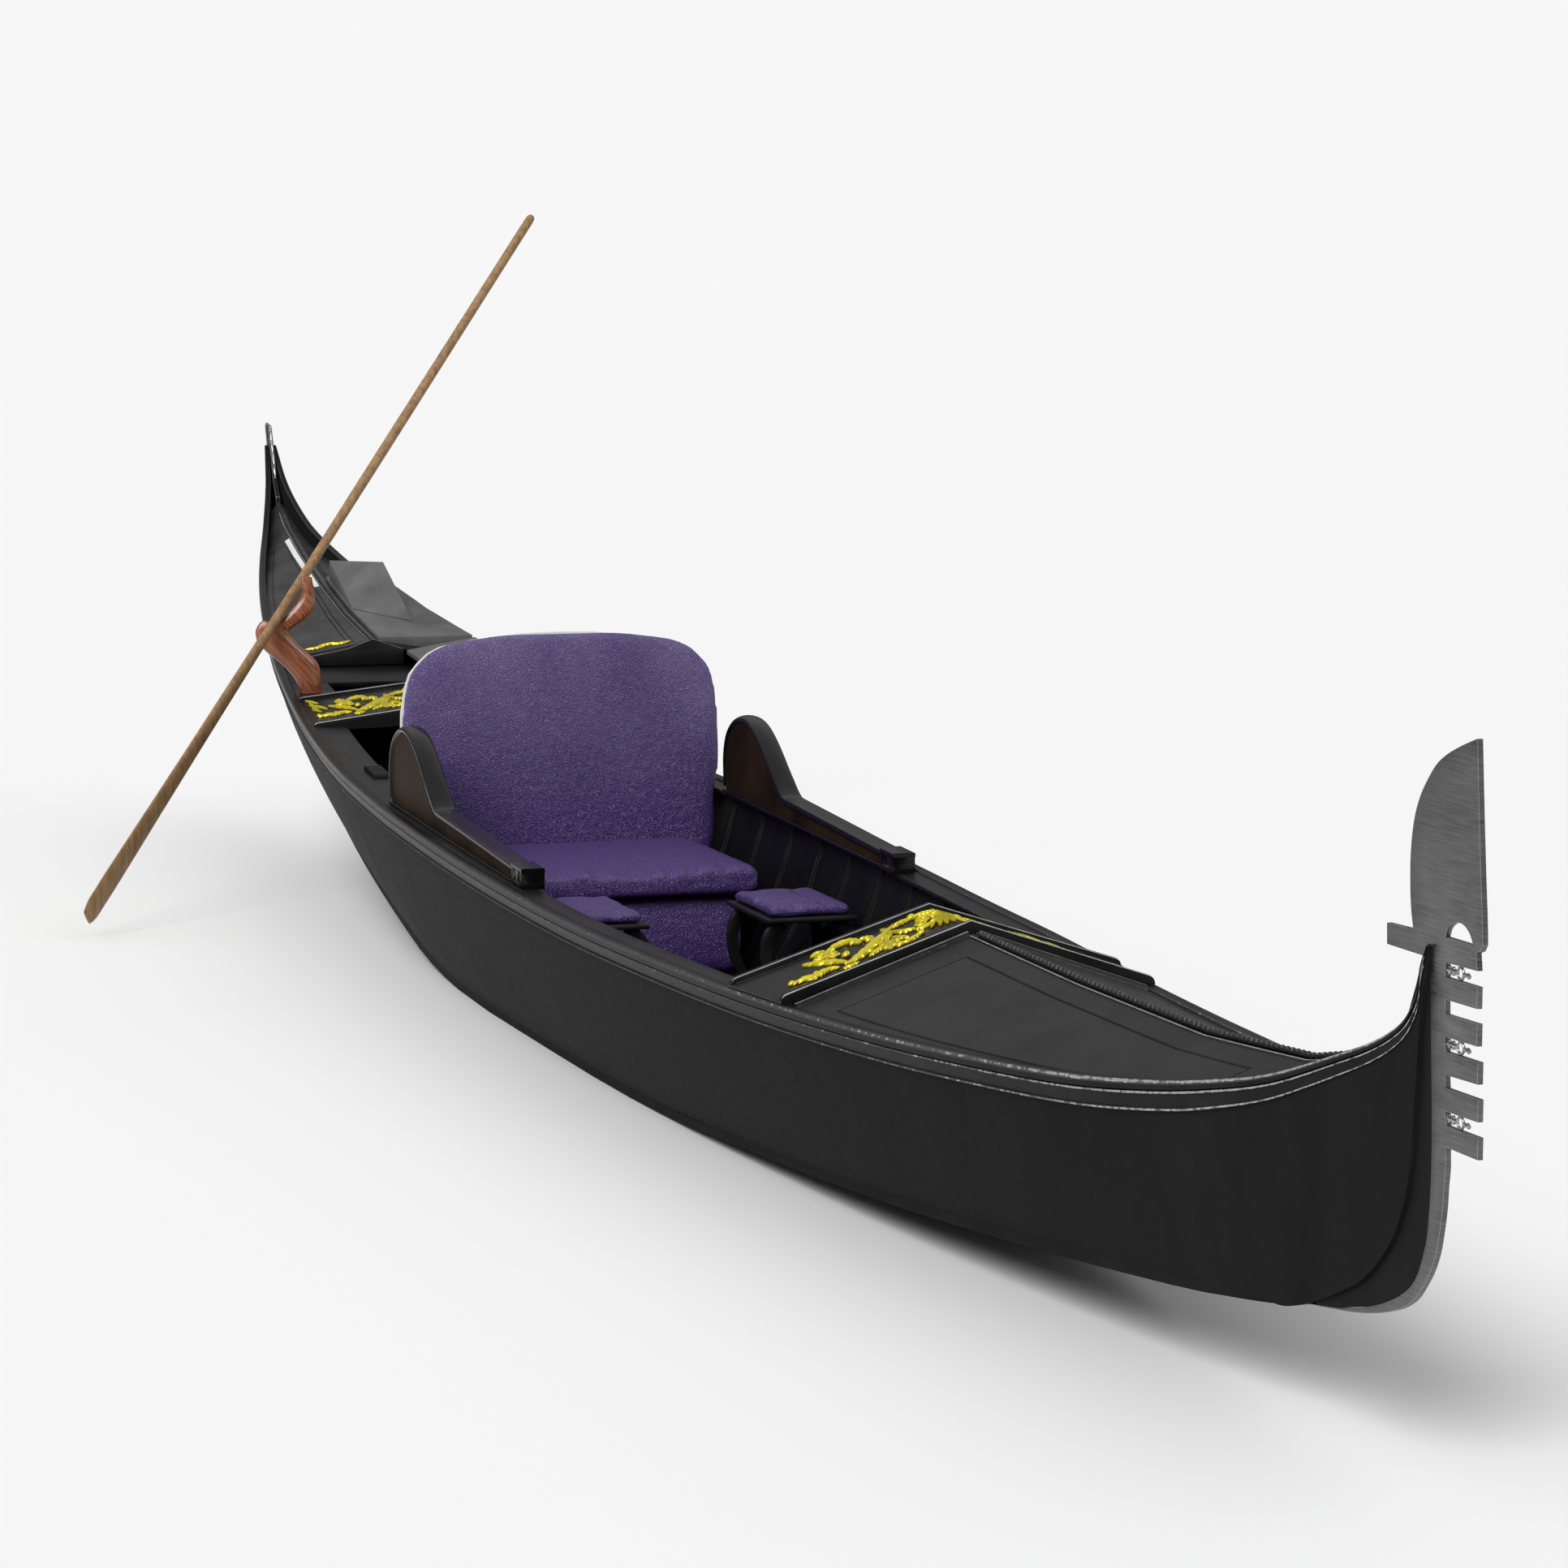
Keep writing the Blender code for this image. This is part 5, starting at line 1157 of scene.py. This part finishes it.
# Curl columns: centre u, v; radius; turns; starting angle; wire; hand.
CURLS = [
    (0.309, -0.072, 0.020, 1.4, 0.4, 0.0056, 1),
    (0.284, -0.050, 0.016, 1.2, 2.4, 0.0046, -1),
    (0.165, -0.020, 0.018, 1.2, 1.0, 0.0050, 1),
    (0.048, -0.062, 0.020, 1.3, 2.0, 0.0052, -1),
    (0.062, -0.030, 0.016, 1.2, 0.0, 0.0046, 1),
]
BEADS = [(0.266, -0.006, 0.011), (0.062, -0.112, 0.011), (0.095, 0.056, 0.010), (0.424, 0.052, 0.009),
         (0.043, -0.003, 0.009), (0.168, 0.070, 0.008), (0.188, -0.080, 0.009), (0.058, -0.045, 0.007),
         (0.361, 0.048, 0.008), (0.016, -0.072, 0.010), (0.033, -0.080, 0.007), (0.150, 0.040, 0.008)]
# Leaves that run aft from the end of the rear beam's spray to the rowlock's foot, in the same columns.
TURN = [
    (0.400, 0.000, 0.425, -0.060, 0.398, -0.120, 0.013, 0.014, 4),
    (0.372, -0.030, 0.385, -0.090, 0.415, -0.130, 0.012, 0.013, 4),
    (0.405, -0.100, 0.415, -0.150, 0.390, -0.200, 0.012, 0.013, 4),
    (0.380, -0.150, 0.395, -0.190, 0.412, -0.225, 0.011, 0.012, 3),
]
# A short spray on the stern deck behind the bulkhead: y from the ridge, x from the line at -3.565.
STERN_SPRAY = [
    (0.070, 0.000, 0.110, 0.022, 0.150, 0.004, 0.011, 0.012, 4),
    (0.120, 0.006, 0.160, -0.022, 0.200, -0.004, 0.011, 0.012, 4),
    (0.165, 0.000, 0.205, 0.020, 0.250, 0.000, 0.011, 0.011, 4),
]
STERN_SPRAY_AT = -3.565


def laid(plan, centre_x, board):
    """Put a plan of (u, v, height, shade) on a board: y = u, x = centre + v, z = board + height."""
    u, v, high, shade = np.moveaxis(plan, -1, 0)
    x, y = centre_x + v, np.maximum(u, 0.0006)
    return grid(x, y, board(x, y) + GAP + high, shade)


def leaves(table, centre_x, board, scale=1.0, tall=1.0):
    """A plate for each leaf of a table, its ground the same plan at no height."""
    made = []
    for row in table:
        plan = leaf(row[0:2], row[2:4], row[4:6], row[6], row[7] * tall, row[8]) * (1, scale, 1, 1)
        made.append(plate(laid(plan, centre_x, board), laid(plan * (1, 1, 0, 0), centre_x, board)))
    return made


def spray(centre_x, board, scale, tall):
    """Every leaf, curl and bead of one spray as closed shells on its board."""
    plans = [curl(row[0:2], *row[2:]) * (1, scale, tall, 1) for row in CURLS]
    plans += [bead((u, v * scale), radius) * (1, 1, tall, 1) for u, v, radius in BEADS]
    wound = [bar(laid(plan, centre_x, board)) for plan in plans]
    return leaves(SPRAY, centre_x, board, scale, tall) + wound


for side in SIDES:
    for kind, centre_x, scale in (("front", 2.752, 0.96), ("rear", -2.585, 1.25)):
        board = board_of(kind)
        shells = spray(centre_x, board, scale, 0.5 if (kind, side) == ("front", "port") else 1.0)
        if kind == "rear":
            shells += leaves(TURN, centre_x, board) + leaves(STERN_SPRAY, STERN_SPRAY_AT, stern_z)
        side_piece(side, f"{kind}_spray", shells, GILT, f"{kind}_carving", 50)
print("sprays of", len(shells), "shells")

# %% [markdown]
# ## Cockpit boards
#
# The side cappings, the boarded lining with its upright battens, the floor, the thwart, the bulkhead
# and the platforms are plain boards. They keep their solids' shapes and get eased edges, with the
# paint rubbed through on the battens' corners.

# %% Ease the boards
for side in SIDES:
    eased(f"side_capping_{side}", TRIM_PAINT, 0.0022, rub=0.6)
    eased(f"side_lining_{side}", BOARD_PAINT, 0.0018, rub=0.78)
    eased(f"quarter_deck_{side}", TRIM_PAINT, 0.0022, rub=0.6)
eased("floor_boards", BOARD_PAINT, 0.002, rub=0.3)
eased("aft_thwart", BOARD_PAINT, 0.003, rub=0.5)
eased("aft_bulkhead", TRIM_PAINT, 0.0025, rub=0.9)
eased("rowing_platform", COVERING, 0.0015)
eased("side_platform", COVERING, 0.002)
eased("foot_wedge", COVERING, 0.0015)

RIBS = 5                        # half rounds of the ribbed block aft of the armrests
RIB_HALF, RIB_TALL = 0.0155, 0.016
RIB_ENDS = (0.142, 0.088)       # in from the sheer line
ribs = []
a = np.linspace(0, np.pi, 7)
for x in np.linspace(-1.430, -1.270, RIBS):
    out, high = sheer_at(x)
    arch = high - 0.0074 + RIB_TALL * np.sin(a) ** 0.7
    ribs.append(bar([grid(x + RIB_HALF * np.cos(a), out - inset, arch) for inset in RIB_ENDS]))
for side in SIDES:
    side_piece(side, "ribbed_block", ribs, TRIM_PAINT, sharp=40)
print("boards eased")

# %% [markdown]
# ## Cushions
#
# The seat is stuffed leather. Each pad starts as a pillow form: two crowned faces that meet at a
# seam, a little smaller than the space it fills. It is remeshed evenly and blown up by a short cloth
# simulation with pressure and no gravity, which gives the slack folds and the puffed edges that no
# formula has. How far a point may move is capped, so the pad stays clear of its neighbours.

# %% Blow up a pad
CLOSER = np.sin(np.linspace(-np.pi / 2, np.pi / 2, 61))     # from -1 to 1, closer together at both ends
FRAMES = 20             # steps of the cloth simulation


def pillow(low, high, square, folds=(), full=0.42):
    """Two faces over a rectangle; height falls off as ((1-|u|^p)(1-|v|^p))^q towards the seam. Each
    fold (x, y, size along x, size along y, depth) presses a smooth dent into the upper face."""
    low, high = np.array(low), np.array(high)
    u, v = CLOSER[:, None], CLOSER
    rise = ((1 - np.abs(u) ** square) * (1 - np.abs(v) ** square)) ** full
    middle, half = (low + high) / 2, (high - low) / 2
    seam = low[2] + (high[2] - low[2]) * 0.45
    x, y = middle[0] + half[0] * u, middle[1] + half[1] * v
    dent = 0 * rise
    for at_x, at_y, long, wide, deep in folds:
        dent = dent + deep * np.exp(-((x - at_x) / long) ** 2 - ((y - at_y) / wide) ** 2)
    return plate(grid(x, y, np.maximum(seam + (high[2] - seam) * rise - dent * rise, seam)),
                 grid(x, y, seam - (seam - low[2]) * rise))


def baked(item):
    """The item's mesh as its modifiers leave it."""
    return bpy.data.meshes.new_from_object(item.evaluated_get(bpy.context.evaluated_depsgraph_get()))


def places(mesh):
    """The places of a mesh's points, one row each."""
    flat = np.empty(len(mesh.vertices) * 3)
    mesh.vertices.foreach_get("co", flat)
    return flat.reshape(-1, 3)


def blow_up(name, form, voxel, cap, pressure, solid, stuffing):
    """Remesh, simulate cloth under pressure, cap each point's path, and subdivide once."""
    item = placed(name, shells_mesh(name, [form]))
    even = item.modifiers.new("even", "REMESH")
    even.mode = "VOXEL"
    even.voxel_size = voxel
    item.data = baked(item)
    item.modifiers.clear()
    cloth = item.modifiers.new("stuffed", "CLOTH")
    cloth.settings.use_pressure = True
    cloth.settings.uniform_pressure_force = pressure
    cloth.settings.effector_weights.gravity = 0.0
    cloth.settings.quality = 5
    for number in range(1, FRAMES + 1):
        bpy.context.scene.frame_set(number)
    blown = baked(item)
    item.modifiers.clear()
    bpy.context.scene.frame_set(1)
    begin = places(item.data)
    move = places(blown) - begin
    far = np.linalg.norm(move, axis=1)[:, None]
    move *= np.minimum(1.0, cap / np.maximum(far, 1e-9))
    item.data.vertices.foreach_set("co", (begin + move).ravel())
    smoother = item.modifiers.new("smoother", "SUBSURF")
    smoother.levels = smoother.render_levels = 1
    declare(item, PURPLE, (solid,))
    print(name, len(item.data.polygons), "faces")


# %% [markdown]
# The backrest leans a little and its top is an arch. Its pad is the same pillow, but each row is as
# wide as the arch at that height, and the row's points lie between two curved faces.

# %% Seat, backrest, base and stool pads
BACK_EDGE = [(0.500, 0.3603), (0.518, 0.430), (0.524, 0.600), (0.535, 0.660), (0.535, 0.800),
             (0.533, 0.870), (0.520, 0.950), (0.504, 0.995), (0.475, 1.030), (0.442, 1.060),
             (0.400, 1.080), (0.295, 1.100), (0.120, 1.118)]
BACK_LEAN = 0.04
BACK_FOOT, BACK_TOP = 0.3603, 1.122
BACK_SEAM = (-0.768, -0.770)    # x of the fore and aft face at the seam
BACK_DEEP = (0.0135, 0.0175)    # how far each face stands out from it
SEAT_BASE_TOP = 0.360


def back_pad():
    """Rows up the arch: y = half width times v, depth falls off as (1-|v|^p)(1-|w|^p)."""
    edge = through(BACK_EDGE, 5)
    half, z = edge[:, 0:1] - 0.0035, edge[:, 1:2]
    w = 2 * (z - BACK_FOOT) / (BACK_TOP - BACK_FOOT) - 1
    depth = ((1 - np.abs(CLOSER) ** 20) * (1 - np.abs(w) ** 40)) ** 0.4
    z = np.minimum(z, 1.113) + 0.004
    lean = -BACK_LEAN * (z - SEAT_BASE_TOP)
    return plate(grid(BACK_SEAM[0] + BACK_DEEP[0] * depth + lean, half * CLOSER, z),
                 grid(BACK_SEAM[1] - BACK_DEEP[1] * depth + lean, half * CLOSER, z))


# Folds of the seat: a sag at the front edge and creases beside it. Columns as in pillow.
SEAT_FOLDS = [
    (0.02, 0.02, 0.10, 0.090, 0.024), (0.03, 0.135, 0.13, 0.017, 0.022), (0.02, 0.20, 0.10, 0.024, 0.016),
    (0.03, -0.10, 0.12, 0.020, 0.020), (0.01, -0.22, 0.08, 0.050, 0.014), (0.02, 0.31, 0.09, 0.016, 0.011),
    (-0.22, 0.05, 0.05, 0.20, 0.006), (-0.70, 0.00, 0.06, 0.60, 0.008), (0.02, -0.33, 0.10, 0.015, 0.010),
]
PAD_FOLDS = [
    (0.60, 0.30, 0.022, 0.10, 0.010), (0.45, 0.40, 0.09, 0.020, 0.009), (0.66, 0.40, 0.04, 0.018, 0.010),
    (0.40, 0.27, 0.05, 0.03, 0.008), (0.54, 0.24, 0.018, 0.05, 0.009), (0.70, 0.30, 0.03, 0.02, 0.009),
]
STARBOARD_FOLDS = [(x - 0.02, -y + 0.055, long, wide, deep) for x, y, long, wide, deep in PAD_FOLDS]
# Columns: name, form, voxel, cap, pressure, the solid it stands for, how full it is.
PADS = [
    ("backrest_pad", back_pad(), 0.0100, 0.004, 2.0, "seat_backrest", 0.7),
    ("seat_pad", pillow((-0.740, -0.411, 0.364), (0.013, 0.413, 0.452), 34, SEAT_FOLDS, 0.20),
     0.0100, 0.004, 3.0, "seat_cushion", 0.8),
    ("seat_front", pillow((-0.856, -0.371, 0.110), (-0.024, 0.371, 0.356), 40),
     0.0140, 0.003, 2.0, "seat_base", 0.9),
    ("stool_pad_port", pillow((0.345, 0.221, 0.399), (0.700, 0.469, 0.430), 20, PAD_FOLDS, 0.30),
     0.0060, 0.003, 2.0, "stool_cushion_port", 0.6),
    ("stool_pad_starboard", pillow((0.325, -0.409, 0.399), (0.680, -0.166, 0.430), 20, STARBOARD_FOLDS, 0.30),
     0.0060, 0.003, 2.0, "stool_cushion_starboard", 0.6),
]
for pad in PADS:
    blow_up(*pad)

# The shell is made a little smaller than its solid, which leaves a thin pale edge round the pad.
shell_mesh = eased("backrest_shell", PALE, 0.0015)
shell_mesh.transform(Matrix.Diagonal((1.0, 0.983, 0.992, 1.0)))
shell_mesh.transform(Matrix.Translation((0.0, 0.0, 0.0030)))

# %% [markdown]
# ## Armrests
#
# An armrest is a bent frame of rounded timber round a thin panel. The frame is an oval section
# carried along the crest: over the high shoulder, down the sweep and along the arm to its end block.
# The panel behind it is set back from both faces and has the brown of old varnish.

# %% Bend the armrests
CREST = [(-0.704, 0.612), (-0.704, 0.735), (-0.680, 0.782), (-0.634, 0.818), (-0.570, 0.841),
         (-0.500, 0.843), (-0.434, 0.829), (-0.367, 0.800), (-0.281, 0.748), (-0.190, 0.684),
         (-0.142, 0.653), (-0.110, 0.6385), (-0.060, 0.6335)]
ARM = [(-0.060, 0.6335), (0.370, 0.6130), (0.800, 0.5925)]
ARM_IN, ARM_OUT = 0.522, 0.5915
PANEL_IN = 0.008        # the panel is set back from both faces of the frame
FOOT_SINK = 0.0068      # how far the foot goes down past the sheer line
BLOCK_FROM, BLOCK_TO = 0.800, 0.915     # the end block's aft and fore end


def oval_along(path, half_wide, half_deep, corner):
    """A rounded bar in the upright plane along the boat: across each point's normal lies the
    superellipse |w|^n + |d|^n = 1, whose n rises from an oval's 2 to a box's 6."""
    wide, deep, power = (np.broadcast_to(value, len(path))[:, None]
                         for value in (half_wide, half_deep, corner))
    normal = heading(path)[1]
    a = full_turn(24) + 0.13
    side, out = (np.sign(wave) * np.abs(wave) ** (2 / power) for wave in (np.cos(a), np.sin(a)))
    return bar(grid(path[:, 0:1] + normal[:, 0:1] * (out * deep), (ARM_IN + ARM_OUT) / 2 + side * wide,
                    path[:, 1:2] + normal[:, 1:2] * (out * deep)))


def arm_panel():
    """The thin wall under the crest, from the capping up to the frame's middle line."""
    x = np.linspace(-0.700, 0.800, 90)
    high = line(np.concatenate([through(CREST, 4)[6:], ARM[1:]]), x) - 0.004
    low = sheer_at(x)[1] - FOOT_SINK
    z = np.stack([low, (low + high) / 2, high], 1)
    return plate(grid(x[:, None], ARM_OUT - PANEL_IN, z), grid(x[:, None], ARM_IN + PANEL_IN, z))


def foot_rail():
    """The flat rail under the panel, on the capping."""
    x = np.linspace(-0.712, 0.810, 60)
    return oval_along(np.stack([x, sheer_at(x)[1] - 0.0008], 1), 0.0345, 0.0062, 5)


def end_block():
    """The block at the arm's fore end: a box with eased edges, a hollow panel on each long face."""
    steps = np.array([0, 0.03, 0.10, 0.14, 0.20, 0.50, 0.80, 0.86, 0.90, 0.97, 1.0])
    inset = np.array([0.06, 0.0, 0.0, 0.0, 0.07, 0.07, 0.07, 0.0, 0.0, 0.0, 0.06])
    share = np.array([0.0, 0.04, 0.14, 0.20, 0.26, 0.74, 0.80, 0.86, 0.96, 1.0])
    x = (BLOCK_FROM + (BLOCK_TO - BLOCK_FROM) * steps)[:, None]
    foot, crown = sheer_at(x)[1] - FOOT_SINK, np.interp(x, [BLOCK_FROM, BLOCK_TO], [0.610, 0.606])
    sunk = np.where((share > 0.2) & (share < 0.8), inset[:, None], 0.06 * ((share == 0) | (share == 1)))
    inner = grid(x, ARM_IN + sunk * (ARM_OUT - ARM_IN), foot + (crown - foot) * share)
    return plate(inner * (1, -1, 1) + (0, ARM_IN + ARM_OUT, 0), inner)


crest_path = np.concatenate([through(CREST, 5), through(ARM, 6)[1:]])
boxy = np.interp(crest_path[:, 0], [-0.24, -0.12], [0.0, 1.0]) * (crest_path[:, 1] < 0.75)
tube = oval_along(crest_path, 0.0345, 0.0150 - 0.0050 * boxy, 2.0 + 3.6 * boxy)
bent = [tube, foot_rail(), end_block()]
for side in SIDES:
    side_piece(side, "armrest_frame", bent, ARM_PAINT, "armrest", 40)
    side_piece(side, "armrest_panel", [arm_panel()], BROWN_PANEL)
print("armrests", len(SIDES))

# %% [markdown]
# ## Stools
#
# Each stool is a board on four curved legs. The legs bow outwards at the knee and come back in, so a
# leg is an oblong section carried along a curve.

# %% Bend the stools' legs
STOOLS = {"port": (0.325, 0.720, 0.205, 0.485), "starboard": (0.305, 0.700, -0.425, -0.150)}
LEG = [(-0.010, 1.00), (-0.046, 0.90), (-0.062, 0.72), (-0.058, 0.52), (-0.034, 0.30), (0.004, 0.10),
       (0.016, 0.00)]   # outwards from the board's corner, share of the height
# An oblong with cut corners. Columns: across the leg and along the boat from -1 to 1, wear.
LEG_SECTION = np.array([(-1, -0.8, 0.9), (-1, 0.8, 0.9), (-0.85, 1, 0.2), (0.85, 1, 0.2), (1, 0.8, 0.9),
                        (1, -0.8, 0.9), (0.85, -1, 0.2), (-0.85, -1, 0.2)])
LEG_IN_X, LEG_IN_Y = 0.035, 0.030       # how far in from the board's edges the legs stand
FLOOR_TOP, BOARD_UNDER = 0.1054, 0.3812


def stool_leg(x, y, out):
    """An oblong section 22 mm by 26 at the foot to 38 at the board, square to the leg's curve."""
    curve = through(LEG, 5)
    path = np.stack([y - out * (curve[:, 0] + 0.040), FLOOR_TOP + (BOARD_UNDER - FLOOR_TOP) * curve[:, 1]], 1)
    across, long, worn = LEG_SECTION.T
    reach = -heading(path)[1][:, None] * ((0.013 + 0.006 * curve[:, 1:2]) * across)[..., None]
    return bar(grid(x + 0.011 * long, path[:, 0:1] + reach[..., 0],
                    np.clip(path[:, 1:2] + reach[..., 1], FLOOR_TOP, BOARD_UNDER + 0.004), 0.25 * worn))


def stool_board(x0, x1, y0, y1):
    """A board with a rounded edge, from one grid above and below."""
    g = np.array([0, 0.006, 0.02, 0.06, 0.5, 0.94, 0.98, 0.994, 1.0])
    edge = np.array([0.75, 0.25, 0.0, 0.0, 0.0, 0.0, 0.0, 0.25, 0.75])
    rounded = np.maximum(edge[:, None], edge)
    x, y = x0 + (x1 - x0) * g[:, None], y0 + (y1 - y0) * g
    return plate(grid(x, y, 0.397 - 0.006 * rounded, 0.3 * (rounded > 0.1)),
                 grid(x, y, 0.381 + 0.006 * rounded, 0))


for side, (x0, x1, y0, y1) in STOOLS.items():
    legs = [stool_leg(x, y, out) for x in (x0 + LEG_IN_X, x1 - LEG_IN_X)
            for y, out in ((y0 + LEG_IN_Y, -1), (y1 - LEG_IN_Y, 1))]
    piece(f"stool_{side}", [stool_board(x0, x1, y0, y1)] + legs, TRIM_PAINT,
          (f"stool_frame_{side}",), sharp=40)
print("stools", len(STOOLS))

# %% [markdown]
# ## Rowlock and oar
#
# The rowlock is carved from one block of walnut: a broad foot, a shoulder that swings outboard, the
# notch and a horn. Carving leaves broad facets, so each section is an uneven octagon, not an oval,
# stretched between the two edges of the S.

# %% Carve the rowlock
ROWLOCK_X = -2.970
# Inboard and outboard edge of the S. Columns: y, z inboard, y, z outboard, half thickness.
EDGES = [
    (-0.3205, 0.7196, -0.3960, 0.7196, 0.0220),
    (-0.3220, 0.7750, -0.4110, 0.7680, 0.0220),
    (-0.3320, 0.8280, -0.4620, 0.8300, 0.0220),
    (-0.3760, 0.8730, -0.5180, 0.8760, 0.0220),
    (-0.4120, 0.9080, -0.5520, 0.9180, 0.0218),
    (-0.4320, 0.9300, -0.5555, 0.9580, 0.0214),
    (-0.4400, 0.9450, -0.5320, 0.9890, 0.0208),
    (-0.4330, 0.9570, -0.5020, 0.9850, 0.0204),
    (-0.4120, 0.9720, -0.4660, 0.9965, 0.0200),
    (-0.3860, 0.9900, -0.4360, 1.0220, 0.0196),
    (-0.3600, 1.0110, -0.4130, 1.0425, 0.0192),
    (-0.3410, 1.0500, -0.3880, 1.0830, 0.0188),
    (-0.3450, 1.1100, -0.3845, 1.1200, 0.0184),
    (-0.3520, 1.1480, -0.3840, 1.1530, 0.0170),
]
# An uneven octagon. Columns: across from -1 inboard to 1 outboard, along the boat from -1 to 1.
FACETS = through([(-1, -0.55), (-0.74, -1), (0.70, -1), (1, -0.5), (1, 0.35), (0.42, 1), (-0.55, 1),
                  (-1, 0.5), (-1, -0.55)], 2)[:-1]

edges = through(EDGES, 5)
inboard, outboard, thick = edges[:, 0:2], edges[:, 2:4], edges[:, 4:5]
share = ((FACETS[:, 0] + 1) / 2)[:, None]
plane = inboard[:, None] * (1 - share) + outboard[:, None] * share
ROWLOCK = grid(ROWLOCK_X + thick * FACETS[:, 1], plane[..., 0], plane[..., 1])
piece("carved_rowlock", [bar(ROWLOCK)], WALNUT, ("rowlock",), sharp=22)
print("rowlock sections", len(ROWLOCK))

# %% [markdown]
# The oar is straight and round in the hand, and flattens slowly into a long blade. Its section is an
# ellipse whose two half axes come from one table. It rides on the oar's own body, so that it swings
# in the rowlock.

# %% Shape the oar
OAR_GRIP = np.array((-4.485, 0.900, 2.490))
OAR_TIP = np.array((-1.954, -1.359, 0.074))
# Columns: distance from the grip, half width, half thickness.
OAR_SHAPE = [
    (0.000, 0.0100, 0.0100), (0.006, 0.0145, 0.0145), (0.014, 0.0166, 0.0166), (0.030, 0.0175, 0.0175),
    (0.060, 0.0177, 0.0177), (0.150, 0.0178, 0.0178), (0.400, 0.0179, 0.0179), (0.700, 0.0180, 0.0180),
    (1.600, 0.0190, 0.0185), (2.400, 0.0190, 0.0170), (2.700, 0.0210, 0.0155), (3.000, 0.0265, 0.0130),
    (3.300, 0.0310, 0.0110), (3.600, 0.0365, 0.0095), (3.850, 0.0410, 0.0080), (4.060, 0.0425, 0.0070),
    (4.135, 0.0395, 0.0060), (4.165, 0.0290, 0.0045),
]
oar_rows = through(OAR_SHAPE, 6)
oar_long = np.linalg.norm(OAR_TIP - OAR_GRIP)
along = (OAR_TIP - OAR_GRIP) / oar_long
flat = np.cross(along, (0, 0, 1))
flat /= np.linalg.norm(flat)
across = np.cross(along, flat)
a = full_turn(32)
OAR = (OAR_GRIP + along * oar_rows[:, 0:1])[:, None] \
    + across * (oar_rows[:, 1:2] * np.cos(a))[..., None] + flat * (oar_rows[:, 2:3] * np.sin(a))[..., None]
piece("oar_blade_and_shaft", [bar(OAR)], OAR_WOOD, ("oar",), body="oar", sharp=50)
print("oar", round(float(oar_long), 3), "m")

# %% Update the scene
bpy.context.view_layer.update()
